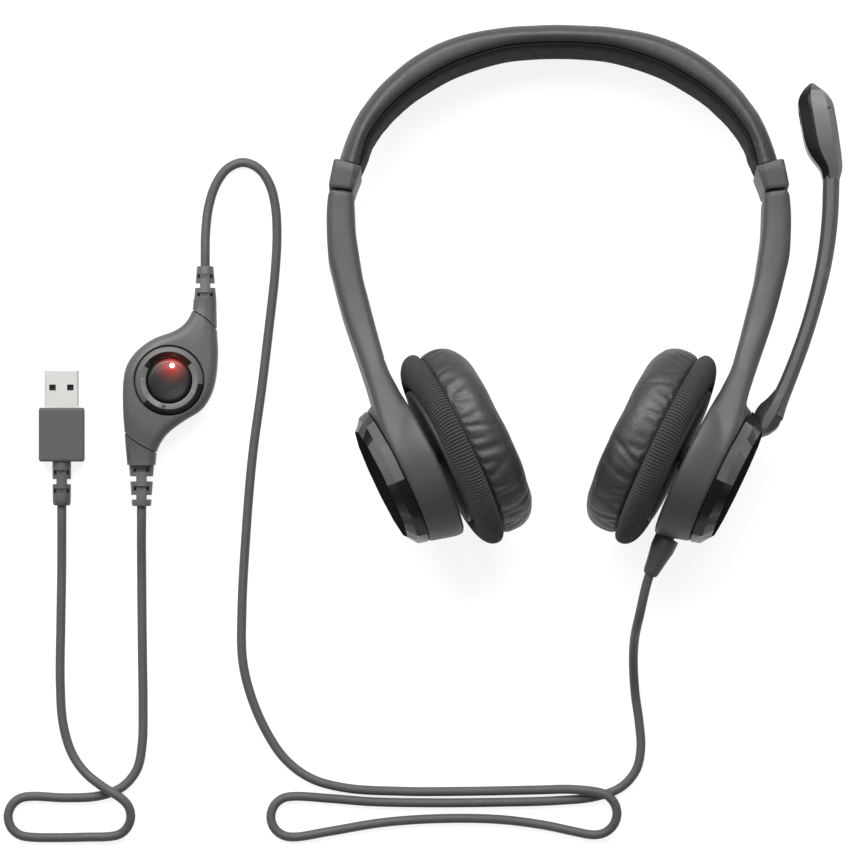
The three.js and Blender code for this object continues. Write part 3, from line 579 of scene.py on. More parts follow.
# painted glow of the lamp on the mute button and on the rocker ring
BUTTON_PAINTED_GLOW = painted_lamp_glow("mute_button_painted_glow", SMOKED, 9.0, 0.85)
RING_PAINTED_GLOW = painted_lamp_glow("rocker_plastic_painted_glow", GRAPHITE_SOFT, 9.0, 0.22)
# painted shade: near-black copy for the ring's shaded sectors, also with the painted glow
RING_PAINTED_SHADE_AND_GLOW = painted_lamp_glow("rocker_painted_shade_glow", SEMI_DARK, 9.0, 0.25)
# painted highlight: lighter copy for the ring's lit sectors
RING_PAINTED_HIGHLIGHT = moulded("rocker_painted_highlight", 0.100, 0.118, rough=(0.34, 0.42), strength=0.15, edge_lift=0.0)


def lamp():
    m, nt, b = new_mat("red_led")
    v = coords(nt)
    d = nt.nodes.new("ShaderNodeVectorMath")
    d.operation = "DISTANCE"
    nt.links.new(v, d.inputs[0])
    d.inputs[1].default_value = tuple(D([LED[0], LED[1], 13.9]) * 0.001)
    f = map_range(nt, d.outputs["Value"], 0.0, 1.0, 0.0005, 0.0011)
    nt.links.new(mix_colour(nt, f, (1.0, 0.85, 0.8), (1.0, 0.08, 0.03)), b.inputs["Emission Color"])
    b.inputs["Base Color"].default_value = (1, 0.2, 0.1, 1)
    b.inputs["Emission Strength"].default_value = 6.0
    return m


LAMP = lamp()

# ------------------------------------------------------------------ cords
CORD_D, CZ, CM, PLUG_X, PLUG_Z = 3.3, 1.7, 5.2, -175.25, 4.2


def gland(p):
    """strain-relief frame (z outwards from the housing) to the right side of the headset"""
    p = np.asarray(p, float)
    x, y, z = p[..., 0], p[..., 1], p[..., 2]
    q = np.stack([x, -z - 27.25, y + 1.6], -1)
    a = math.radians(12)
    r = np.stack([q[..., 0] * math.cos(a) - q[..., 1] * math.sin(a), q[..., 0] * math.sin(a) + q[..., 1] * math.cos(a), q[..., 2]], -1)
    return mx(C(r))


def tip(d):
    return list(H(gland([0, 0, d])) - OFF)


HEADSET_CORD = [tip(4.0), tip(9.0), tip(15.1),
  [28.3, -57.6, 31.0], [26.9, -66.5, 18.5], [26.8, -76.0, 7.6], [27.6, -86.5, 2.4], [29.0, -96.5, CZ], [29.6, -105.5, CZ], [27.9, -113.4, CZ], [22.4, -119.6, CZ], [13.0, -122.9, CZ], [0.0, -124.2, CZ],
  [-20.3, -124.8, CZ], [-45.0, -125.0, CZ], [-66.0, -124.6, CZ], [-80.0, -123.5, CZ], [-93.6, -122.7, CZ], [-97.4, -123.5, CZ], [-100.3, -126.1, CZ], [-101.4, -129.9, CZ], [-100.3, -133.7, CZ], [-97.4, -136.3, CZ], [-93.6, -137.1, CZ],
  [-80.0, -135.0, CZ], [-62.0, -132.0, CZ], [-42.0, -130.6, CZ], [-20.3, -130.9, CZ], [-4.0, -133.0, CZ], [5.0, -134.9, CZ + 0.1], [13.1, -136.3, CZ + 0.5], [17.0, -135.4, CZ + 1.1], [19.9, -132.7, CZ + 2.0], [21.1, -128.9, CZ + 2.9], [20.2, -125.0, CZ + 3.5], [17.5, -122.1, CZ + 3.7], [13.7, -120.9, CZ + 3.4],
  [4.0, -120.1, CZ + 1.9], [-6.5, -120.4, CZ + 0.4], [-30.9, -120.9, CZ], [-55.6, -120.9, CZ], [-75.0, -119.7, CZ], [-87.4, -116.2, CZ], [-96.4, -109.4, CZ], [-103.4, -98.9, CZ], [-108.7, -86.2, CZ], [-111.4, -74.1, CZ],
  [-111.6, -56.4, CZ], [-110.2, -30.2, CZ], [-107.9, -2.6, CZ], [-104.5, 22.6, CZ], [-102.0, 43.4, CZ], [-99.9, 62.6, CZ], [-99.2, 76.7, CZ], [-99.9, 87.0, CZ], [-102.0, 94.4, CZ],
  [-105.9, 99.7, CZ], [-111.2, 101.7, CZ], [-116.5, 99.7, CZ], [-120.6, 94.4, CZ], [-123.3, 86.3, CZ + 0.6], [-124.4, 76.6, CZ + 2.4], [-124.5, 69.6, CM - 0.1], [-124.5, 65.2, CM], [-124.5, 59.0, CM], [-124.5, 54.0, CM]]
PLUG_CORD = [[-147.0, -6.5, CM], [-147.0, -13.0, CM], [-147.0, -20.2, CM], [-147.0, -24.8, CM - 0.1], [-147.1, -32.5, CZ + 2.0], [-147.1, -42.0, CZ + 0.3], [-147.0, -56.4, CZ], [-146.8, -74.4, CZ], [-146.6, -91.8, CZ], [-146.9, -104.0, CZ], [-148.8, -113.2, CZ], [-154.0, -119.4, CZ],
  [-162.0, -122.5, CZ], [-174.0, -123.2, CZ], [-186.6, -122.7, CZ], [-190.4, -123.5, CZ], [-193.3, -126.1, CZ], [-194.4, -129.9, CZ], [-193.3, -133.7, CZ], [-190.4, -136.3, CZ], [-186.6, -137.1, CZ],
  [-176.0, -137.3, CZ], [-166.5, -137.1, CZ + 0.2], [-158.6, -136.9, CZ + 0.5], [-154.7, -136.0, CZ + 1.1], [-151.9, -133.3, CZ + 2.0], [-150.8, -129.5, CZ + 3.0], [-151.8, -125.7, CZ + 3.8], [-154.6, -122.9, CZ + 4.1],
  [-160.6, -119.2, CZ + 3.3], [-167.0, -114.2, CZ + 1.5], [-171.8, -107.4, CZ + 0.2], [-174.9, -97.1, CZ], [-175.9, -82.9, CZ], [-175.7, -61.0, CZ], [-175.4, -43.3, CZ + 0.3], [-175.3, -32.0, CZ + 1.4], [-175.25, -24.6, PLUG_Z - 0.1], [-175.25, -20.0, PLUG_Z], [-175.25, -12.0, PLUG_Z], [-175.25, -5.5, PLUG_Z]]


def cord_object(name, route, spacing=1.6):
    pts = D(catmull(route, 24))
    pts = resample(pts, int(length(pts) / spacing))
    cu = bpy.data.curves.new(name, "CURVE")
    cu.dimensions = "3D"
    cu.bevel_depth = CORD_D / 2 * 0.001
    cu.bevel_resolution = 5
    cu.use_fill_caps = True
    sp = cu.splines.new("POLY")
    sp.points.add(len(pts) - 1)
    sp.points.foreach_set("co", np.concatenate([pts * 0.001, np.ones((len(pts), 1))], 1).ravel())
    sp.use_smooth = True
    o = bpy.data.objects.new(name, cu)
    bpy.context.collection.objects.link(o)
    cu.materials.append(CABLE)
    return o, length(pts) * 0.001, pts


headset_cord, headset_len, headset_pts = cord_object("headset_cord_jacket", HEADSET_CORD)
plug_cord, plug_len, plug_pts = cord_object("plug_cord_jacket", PLUG_CORD)
for o, n in ((headset_cord, "headset_cord"), (plug_cord, "plug_cord")):
    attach(o, "right_arm")
    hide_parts(n)

# ------------------------------------------------------------------ headband
OUTER = [[0, 150.6], [-9, 150.3], [-17.5, 149.8], [-32.2, 147.3], [-42.1, 143.9], [-48.7, 140.4], [-54.0, 136.8], [-58.2, 133.2], [-61.9, 129.7], [-65.1, 126.1], [-67.7, 122.6], [-70.2, 119.0], [-72.1, 115.5], [-73.7, 111.9], [-75.3, 107.6], [-77.3, 101.15]]
SEAM = [[0, 142.8], [-9, 142.5], [-19.8, 141.2], [-36.3, 135.8], [-46.0, 130.4], [-52.8, 125.7], [-58.0, 120.9], [-62.3, 116.1], [-66.7, 109.3], [-68.4, 104.2], [-69.6, 99.0]]
BW = 14.0


def band_lines(count):
    """pairs of outer and seam points from the left end to the right end, with each one's share of the way"""
    def line(pts):
        left = [(x, y) for x, y in pts[::-1]]
        right = [(-x, y) for x, y in pts[1:]]
        return resample(catmull(left + right, 16), count)
    o, s = line(OUTER), line(SEAM)
    return o, s, np.linspace(0, 1, count + 1)


def pucker(t, side, seed):
    """small cross folds of the leather near both ends of the band; t runs 0..1 along the band"""
    e = min(t, 1 - t)
    fade = max(0.0, 1 - e / 0.24) ** 0.8
    if fade <= 0:
        return 0.0
    a = math.sin(t * 260 + 2.2 * math.sin(t * 61 + seed) + seed)
    b = math.sin(t * 147 + 1.7 * math.sin(t * 37 + 2 * seed) + 1.3 * seed)
    return fade * (0.6 * a + 0.5 * b)


def headband():
    n = 240
    o, s, T = band_lines(n)
    cover, pad = [], []
    for k in range(n + 1):
        a, b, t = o[k], s[k], T[k]
        u = np.array([b[0] - a[0], b[1] - a[1], 0.0])
        d = float(np.linalg.norm(u))
        u /= d
        w = BW
        # cover: crowned outer face, full rounded shoulders, tucked in at the seam
        half = [(0.0, 0.0), (0.12, -w * 0.27), (0.50, -w * 0.51), (1.15, -w * 0.70), (2.0, -w * 0.835), (3.0, -w * 0.925), (4.0, -w * 0.98), (5.1, -w * 1.0), (d - 1.5, -w * 0.965), (d - 0.12, -w * 0.875), (d - 0.12, -w + 3.6), (2.0, -w + 3.6)]
        half = [half[0]] + list(map(tuple, catmull([np.array(p) for p in half[1:10]], 4))) + half[10:]
        prof = half + [(p, -q) for p, q in half[::-1] if abs(q) > 1e-9]
        ring = []
        for p, q in prof:
            near = math.exp(-((p - d) / 2.6) ** 2)
            f = pucker(t, 1, 0.7 if q < 0 else 2.9) * 0.16 * near * (1 if abs(q) > w * 0.9 else 0)
            ring.append((p, q * (1 + f / w)))
        cover.append(section([a[0], a[1], 0], u, [0, 0, 1], ring))
        # pad: a stuffed roll that stands on the inside of the seam
        e = min(t, 1 - t)
        taper = min(1.0, (e / 0.034)) ** 0.5
        deep = 1.75 * (0.06 + 0.94 * taper)
        ph = [(d - 2.4, -w + 3.4), (d - 0.1, -w + 3.1), (d + 0.10 * deep, -w + 2.4), (d + 0.17 * deep, -w + 1.9), (d + 0.35 * deep, -w + 1.75), (d + 0.57 * deep, -w + 2.2), (d + deep * 0.82, -w + 4.0), (d + deep * 0.97, -w + 7.0), (d + deep, 0.0)]
        ph = ph[:2] + list(map(tuple, catmull([np.array(p) for p in ph[1:]], 4)))[1:]
        prof = ph + [(p, -q) for p, q in ph[::-1] if abs(q) > 1e-9]
        ring = []
        for p, q in prof:
            inn = max(0.0, p - d)
            f = pucker(t, -1, 1.9 if q < 0 else 0.4)
            ring.append((p + f * 0.10 * min(inn, 1.0), q + math.copysign(f * 0.30 * math.exp(-((inn - 0.5) / 1.2) ** 2), q) * (1 if abs(q) > w * 0.6 else 0)))
        pad.append(section([a[0], a[1], 0], u, [0, 0, 1], ring))
    V, F = loft(H(np.array(cover)))
    c = mesh_object("headband_leather_cover", V, F, 50)
    finish(c, LEATHER, "headband", ["headband_cover"])
    V, F = loft(H(np.array(pad)))
    p = mesh_object("headband_leather_pad", V, F, 60)
    finish(p, LEATHER_PAD_PAINTED_SHADE, "headband", ["headband_pad"])


headband()

# ------------------------------------------------------------------ sleeves and strips
ST0, ST1 = np.array([-68.0, 117.4]), np.array([-75.6, 92.0])
SD = (ST1 - ST0) / np.linalg.norm(ST1 - ST0)
SN = np.array([-SD[1], SD[0]])


def strip_block(a, b, half, wide):
    rings = []
    for d in (a, b):
        o = ST0 + SD * d
        rings.append(section([*o, 0], [*SN, 0], [0, 0, 1], [(-half, -wide), (half, -wide), (half, wide), (-half, wide)]))
    V, F = loft(H(np.array(rings)))
    return mesh_object("cutter", V, F)


def sleeves():
    st = [([-78.6, 101.2], [-68.9, 98.5], 14.1), ([-79.1, 98.9], [-69.6, 96.5], 14.4), ([-79.9, 95.0], [-70.8, 93.3], 14.1), ([-80.6, 91.3], [-71.75, 90.2], 13.7)]
    rings = []
    line = catmull([np.array([*a, *b, w]) for a, b, w in st], 8)
    # the lip: a small step at the band's side, then the body, with rounded ends
    for k, (ax, ay, bx, by, w) in enumerate(line):
        a, b = np.array([ax, ay, 0]), np.array([bx, by, 0])
        u = (b - a) / np.linalg.norm(b - a)
        ins = 0.35 if k == 0 else 0.1 if k == 1 else 0.4 if k == len(line) - 1 else 0.12 if k == len(line) - 2 else 0
        d = np.linalg.norm(b - a)
        c_ = 3.0 - 1.5 * k / (len(line) - 1)
        pts = fillet([(ins, -w + ins + 1.6), (ins + 1.0, -w + ins + 0.25), (d - ins - c_, -w + ins), (d - ins, -w + ins + 1.0), (d - ins, w - ins - 1.0), (d - ins - c_, w - ins), (ins + 1.0, w - ins - 0.25), (ins, w - ins - 1.6)], 0.35, 3)
        rings.append(section(a, u, [0, 0, 1], pts))
    V, F = loft(H(np.array(rings)))
    left = mesh_object("left_sleeve_shell", V, F, 30)
    boolean(left, [strip_block(8, 40, 1.0, 8.0)], angle=30)
    right = mirrored(left, "right_sleeve_shell")
    finish(left, GRAPHITE, "headband", ["left_sleeve"])
    finish(right, GRAPHITE, "headband", ["right_sleeve"])


sleeves()

# ------------------------------------------------------------------ arms with their cup housings
ARM_OUT = [[-80.6, 90.7], [-81.2, 84.0], [-81.2, 76.5], [-80.6, 67.3], [-79.3, 61.5], [-77.2, 53.1], [-75.1, 45.7], [-70.6, 32.6], [-68.1, 25.3], [-66.3, 19.5], [-64.3, 12.0], [-62.2, 4.0], [-59.2, -5.0]]
ARM_IN = [[-71.6, 89.7], [-71.3, 82.5], [-70.9, 75.5], [-69.7, 67.3], [-68.5, 59.9], [-66.8, 53.1], [-64.9, 45.7], [-62.2, 35.4], [-59.4, 26.0], [-56.2, 19.5], [-53.0, 12.0], [-50.2, 4.0], [-46.4, -5.0]]
ARM_WIDE = [12.9, 12.5, 12.4, 12.4, 12.5, 12.8, 13.4, 15.2, 17.0, 19.0, 21.6, 24.0, 25.8]


def cup_lathe(profile, seg=96, name="cutter", round_r=0.0, angle=35, side="left"):
    prof = fillet(profile, round_r, 3, closed=profile[0][0] > 1e-6) if round_r is not None and np.any(np.array(round_r) > 0) else np.array(profile, float)
    V, F = turned(prof, seg)
    P = C(V)
    if side == "right":
        P = mx(P)
    return mesh_object(name, H(P), F, angle)


def arms():
    line = catmull([np.array([*a, *b, w]) for a, b, w in zip(ARM_OUT, ARM_IN, ARM_WIDE)], 8)
    rings = []
    for ax, ay, bx, by, w in line:
        a, b = np.array([ax, ay, 0]), np.array([bx, by, 0])
        d = np.linalg.norm(b - a)
        u = (b - a) / d
        # front and back faces slightly crowned, long edges well rounded
        c = [(0, -w + 2.6), (0.7, -w + 0.9), (2.2, -w + 0.12), (d / 2, -w - 0.0), (d - 2.2, -w + 0.12), (d - 0.7, -w + 0.9), (d, -w + 2.6)]
        pts = fillet(c + [(p, -q) for p, q in c[::-1]], 1.2, 3)
        rings.append(section(a, u, [0, 0, 1], pts))
    V, F = loft(H(np.array(rings)))
    arm = mesh_object("left_arm_shell", V, F)
    boolean(arm, [cup_lathe([[0, -30], [60, -30], [60, -6.0], [0, -6.0]], 64)])
    housing = cup_lathe([[0, -6.2], [25.2, -6.2], [26.0, -3.0], [27.4, 2.0], [28.0, 5.4], [27.5, 6.6], [0, 6.6]], 144, round_r=[0, 0, 1.5, 2.5, 1.0, 0.5, 0])
    boolean(arm, [housing], "UNION")
    m = arm.modifiers.new("r", "REMESH")
    m.mode = "VOXEL"
    m.voxel_size = 0.0005
    m.adaptivity = 0.0
    m.use_smooth_shade = True
    s = arm.modifiers.new("s", "SMOOTH")
    s.factor = 0.5
    s.iterations = 50
    apply_mods(arm)
    cuts = [cup_lathe([[0, -30], [60, -30], [60, -6.05], [0, -6.05]], 160),
            cup_lathe([[0, -8], [22.6, -8], [22.6, -5], [24.4, 2.6], [0, 2.6]], 96),
            cup_lathe([[0, 4.7], [23.8, 4.7], [23.8, 9], [0, 9]], 128),
            cup_lathe([[0, 6.55], [40, 6.55], [48, 24], [0, 24]], 128),
            cup_lathe([[0, 1], [7.3, 1], [7.3, 6], [0, 6]], 64),
            strip_block(20, 32.3, 0.8, 7.8)]
    boolean(arm, cuts, angle=30)
    right = mirrored(arm, "right_arm_shell")
    V, F = turned([[0, -6], [3.1, -6], [3.1, 4], [0, 4]], 40)
    hole = mesh_object("cutter", H(gland(V)), F)
    boolean(right, [hole], angle=30)
    finish(arm, GRAPHITE, "left_arm", ["left_arm"])
    finish(right, GRAPHITE, "right_arm", ["right_arm"])


arms()

# ------------------------------------------------------------------ covers, cut like a gem with broad flat faces
def cover_mesh(sides=10, phase=0.3, spigot=False):
    """outer cover in the cup's frame: round where it meets the housing, many-sided towards its face"""
    seg = 120
    V, F = [], []
    ring = lambda r, z: ([(r * math.cos(2 * PI * i / seg), r * math.sin(2 * PI * i / seg), z) for i in range(seg)])

    def poly_ring(r, z, n, ph):
        out = []
        for i in range(seg):
            a = 2 * PI * i / seg
            k = (a - ph) / (2 * PI / n)
            f = (k - math.floor(k) - 0.5) * 2 * PI / n
            out.append((r * math.cos(PI / n) / math.cos(f) * math.cos(a), r * math.cos(PI / n) / math.cos(f) * math.sin(a), z))
        return out
    step = PI / sides
    loops = [ring(23.4, -6.35), ring(25.0, -6.35), ring(25.06, -6.6),
             poly_ring(24.35, -9.35, sides, phase), poly_ring(24.05, -9.8, sides, phase),
             poly_ring(20.9, -12.5, sides, phase + step), poly_ring(20.2, -12.72, sides, phase + step),
             ring(12.5, -12.87), ring(6, -12.9)]
    for l in loops:
        V += l
    m = len(loops)
    for k in range(m - 1):
        for i in range(seg):
            j = (i + 1) % seg
            F.append([k * seg + i, k * seg + j, (k + 1) * seg + j, (k + 1) * seg + i])
    V.append((0, 0, -12.9))
    c = len(V) - 1
    for i in range(seg):
        F.append([(m - 1) * seg + i, (m - 1) * seg + (i + 1) % seg, c])
    inner = [(22.2, -9.0), (19.2, -11.2)] + ([(6.2, -11.4), (6.2, -3.8)] if spigot else [(10.0, -11.4)])
    base = len(V)
    for r, z in inner:
        V += ring(r, z)
    prev = 0
    for k in range(len(inner)):
        cur = base + k * seg
        for i in range(seg):
            j = (i + 1) % seg
            F.append([prev + j, prev + i, cur + i, cur + j])
        prev = cur
    V.append((0, 0, -3.8 if spigot else -11.4))
    c = len(V) - 1
    for i in range(seg):
        F.append([prev + (i + 1) % seg, prev + i, c])
    return np.array(V), F


def covers():
    def painted_highlight_faces(o, V, F):
        """painted highlight: two neighbouring facets of the cover get a lighter base colour"""
        o.data.materials.append(GLOSS_FACET_PAINTED_HIGHLIGHT)
        o.data.materials.append(SATIN_BLACK)
        for q in o.data.polygons:
            k, i = divmod(q.index, 120)
            d = (i + 0.5) * 3.0
            if (2 <= k <= 3 and 132 < d < 192) or (k == 4 and 147 < d < 192):
                q.material_index = 1
            elif 5 <= k <= 8:
                q.material_index = 2
    V, F = cover_mesh(12, math.radians(12))
    o = mesh_object("left_gloss_cover", H(C(V)), F, 8)
    finish(o, GLOSS, "left_arm", ["left_outer_cover"])
    painted_highlight_faces(o, V, F)
    V, F = cover_mesh(12, math.radians(12), spigot=True)
    o = mesh_object("boom_hub_cover", H(mx(C(V))), F, 8)
    finish(o, GLOSS, "boom", ["boom_hub"])
    painted_highlight_faces(o, V, F)


covers()


# ------------------------------------------------------------------ boom, its root and the microphone
def rounded_station(o, t, h, w, r, n=4, crown=0.0):
    u = np.array([t[1], -t[0], 0.0])
    c = [(-h, -w), (h, -w), (h, w), (-h, w)]
    return section(o, u, [0, 0, 1], fillet(c, r, n))


def boom():
    B = [[74.9, 12.2, 3.6, 4.8], [77.2, 17.6, 3.0, 4.4], [80.3, 24.8, 2.7, 4.1], [85.7, 39.0, 2.6, 4.0], [90.0, 53.1, 2.6, 4.0], [93.3, 67.3, 2.7, 4.0], [95.2, 81.5, 2.8, 4.0], [95.93, 97.4, 2.85, 4.05]]
    line = catmull([np.array(b) for b in B], 12)
    rings = []
    for k, (x, y, h, w) in enumerate(line):
        a, b = line[max(k - 1, 0)], line[min(k + 1, len(line) - 1)]
        t = (b - a)[:2] / np.linalg.norm((b - a)[:2])
        u = np.array([t[1], -t[0], 0.0])
        # a flat-faced strap: broad front and back with a ridge nearer the outside, sloped sides
        pts = fillet([(-h, -w + 1.9), (-h + 1.2, -w + 0.1), (h * 0.25, -w - 0.05), (h - 0.9, -w + 0.5), (h, -w + 2.1), (h, w - 2.1), (h - 0.9, w - 0.5), (h * 0.25, w + 0.05), (-h + 1.2, w - 0.1), (-h, w - 1.9)], 0.55, 2)
        rings.append(section([x, y, 0], u, [0, 0, 1], pts))
    V, F = loft(H(np.array(rings)))
    o = mesh_object("boom_strap", V, F, 30)
    finish(o, GRAPHITE, "boom", ["boom_arm"])
    # root: a smooth block that grows out of the hub and carries the strap
    R = [[70.5, 5.2, 2.2, 0.5, 5.6], [71.7, 7.2, 4.2, 2.4, 5.7], [73.1, 9.9, 5.6, 3.75, 5.4], [75.1, 13.3, 5.5, 3.5, 5.0], [76.7, 16.7, 4.0, 3.15, 4.6], [78.2, 20.0, 2.9, 2.9, 4.3]]
    line = catmull([np.array(b) for b in R], 8)
    rings = []
    for k, (x, y, hi, ho, w) in enumerate(line):
        a, b = line[max(k - 1, 0)], line[min(k + 1, len(line) - 1)]
        t = (b - a)[:2] / np.linalg.norm((b - a)[:2])
        u = np.array([t[1], -t[0], 0.0])
        pts = fillet([(-hi, -w + 2.6), (-hi * 0.35, -w + 0.3), (ho * 0.3, -w), (ho, -w + 2.4), (ho, w - 2.4), (ho * 0.3, w), (-hi * 0.35, w - 0.3), (-hi, w - 2.6)], 0.5, 2)
        rings.append(section([x, y, 0], u, [0, 0, 1], pts))
    V, F = loft(H(np.array(rings)))
    o = mesh_object("boom_root", V, F, 30)
    keep = cup_lathe([[0, -11.8], [20.2, -11.8], [23.6, -9.2], [24.4, -6.5], [40, -6.5], [40, 12], [0, 12]], 96, side="right")
    boolean(o, [keep], angle=30)
    finish(o, ROOT, "boom", ["boom_hub"])


boom()


def mic():
    M = [[95.6, 93.0, 98.85, 4.12], [99.4, 92.0, 99.8, 4.9], [104.2, 88.6, 99.6, 5.5], [108.3, 86.8, 99.1, 5.8], [118.4, 85.0, 97.7, 5.9], [123.7, 84.4, 96.5, 5.6], [127.3, 86.0, 93.9, 4.6], [130.1, 88.4, 90.4, 2.6]]
    line = catmull([np.array(b) for b in M], 5)
    rings = []
    for y, a, b, w in line:
        d = b - a
        # faces: broad sloped face at the inside, narrow flat, main face, sloped outside
        fr = [(a, w * 0.55), (a + d * 0.27, w * 0.93), (a + d * 0.36, w), (a + d * 0.80, w * 0.92), (b - 0.15, w * 0.46)]
        pts = [(p, -q) for p, q in fr] + [(p, q) for p, q in fr[::-1]]
        rings.append(section([0, y, 0], [1, 0, 0], [0, 0, 1], fillet(pts, 0.18, 1)))
    V, F = loft(H(np.array(rings)))
    o = mesh_object("mic_gloss_shell", V, F, 12)

    def axis_rod(r, x0, x1, u=118.0, seg=48):
        v, f = turned([[0, x0], [r, x0], [r, x1], [0, x1]], seg)
        p = np.stack([v[:, 2], u + v[:, 0], v[:, 1]], -1)
        return mesh_object("cutter", H(p), f)

    def slope(points, tilt_y, tilt_x, depth):
        """takes a shallow slice off the front face, along a tilted plane"""
        c = np.mean(points, 0)
        v, f = [], []
        for z in (0, 12):
            for x, y in points:
                v.append((x, y, z + depth + (x - c[0]) * tilt_x + (y - c[1]) * tilt_y))
        n = len(points)
        f.append(list(range(n))[::-1])
        f.append(list(range(n, 2 * n)))
        for i in range(n):
            j = (i + 1) % n
            f.append([i, j, n + j, n + i])
        return mesh_object("cutter", H(np.array(v)), f)
    top = slope([(86.5, 133), (103, 133), (103, 121.2), (91.2, 119.0), (88.0, 122.5)], -0.34, -0.10, 4.55)
    low = slope([(89.2, 114.5), (94.2, 118.4), (104, 112.0), (104, 99.0), (93.2, 99.5)], 0.02, -0.18, 5.25)
    # the microphone's port on the front, as a shallow dish with a hole
    v, f = turned([[0, 4.0], [0.75, 4.0], [0.75, 5.0], [1.25, 6.9], [0, 6.9]], 40)
    port = mesh_object("cutter", H(np.array([95.3, 120.4, 0]) + v), f)
    boolean(o, [axis_rod(2.9, 80, 92.4), top, low, port], angle=10)
    finish(o, SEMI, "boom", ["mic_housing"])
    o.data.materials.append(GLOSS)
    for q in o.data.polygons:
        if q.normal.x < -0.30:
            q.material_index = 1
    # grille on the side towards the mouth: a thin disc with rows of holes
    v, f = turned(fillet([[0, 85.9], [2.8, 85.9], [2.8, 86.7], [0, 86.7]], 0.12, 2, closed=False), 64)
    g = mesh_object("mic_grille_disc", H(np.stack([v[:, 2], 118 + v[:, 0], v[:, 1]], -1)), f, 30)
    holes = []
    V0, F0 = [], []
    for r, n in ((0.0, 1), (1.1, 6), (2.2, 12)):
        for k in range(n):
            a = 2 * PI * k / n
            hv, hf = turned([[0, 85.0], [0.26, 85.0], [0.26, 87.5], [0, 87.5]], 10)
            p = np.stack([hv[:, 2], 118 + hv[:, 0] + r * math.cos(a), hv[:, 1] + r * math.sin(a)], -1)
            F0 += [[i + len(V0) for i in q] for q in hf]
            V0 += list(p)
    holes.append(mesh_object("cutter", H(np.array(V0)), F0))
    boolean(g, holes, angle=30)
    finish(g, DARK, "boom", ["mic_grille"])


mic()


# ------------------------------------------------------------------ cups: plate, knit ring, baffle, cushion
def both(builder):
    for side in ("left", "right"):
        builder(side)


def arc(r, a0, a1, n, zc):
    return [[r * math.cos(math.radians(a0 + (a1 - a0) * i / n)), zc + r * math.sin(math.radians(a0 + (a1 - a0) * i / n))] for i in range(n + 1)]


def cup_rigid(side):
    o = cup_lathe([[0, -2.0], *arc(4.0, -80, 50, 14, 2.0), [1.9, 5.4], [1.9, 9.3], [24.3, 9.3], [25.0, 9.8], [25.0, 10.9], [24.4, 11.2], [0, 11.2]], 120, f"{side}_cup_plate", None, 35, side)
    finish(o, GRAPHITE, f"{side}_cup", [f"{side}_pad_carrier"])
    o = cup_lathe([[2.85, 7.2], [4.9, 7.2], [4.9, 8.7], [2.85, 8.7]], 48, f"{side}_pivot_ring", 0.25, 35, side)
    finish(o, DARK, f"{side}_pivot", [f"{side}_pivot_collar"])
    body = "left_arm" if side == "left" else "right_arm"
    o = cup_lathe([[6.3, 4.95], [23.4, 4.95], [23.4, 6.3], [22.6, 6.6], [18.2, 6.6], [17.8, 6.2], [8.2, 6.2], [7.8, 6.6], [6.3, 6.6]], 120, f"{side}_inner_disc", 0.15, 35, side)
    finish(o, DARK, body, [f"{side}_inner_cover"])
    o = cup_lathe([[17.2, 16.4], [20.1, 16.4], [20.1, 18.6], [33.0, 18.6], [33.0, 20.2], [14.4, 20.2], [14.4, 18.6], [17.2, 18.6]], 120, f"{side}_baffle_ring", 0.2, 35, side)
    finish(o, DARK, f"{side}_cup", [f"{side}_baffle"])
    # thin cloth over the driver, slightly slack
    prof = [[0, 20.55], [7, 20.6], [14.8, 20.62], [14.8, 21.15], [11, 21.0], [6, 20.9], [0, 20.86]]
    o = cup_lathe(prof, 96, f"{side}_driver_cloth", None, 50, side)
    finish(o, CLOTH, f"{side}_cup", [f"{side}_speaker_cloth"])


both(cup_rigid)

RIBS = 188


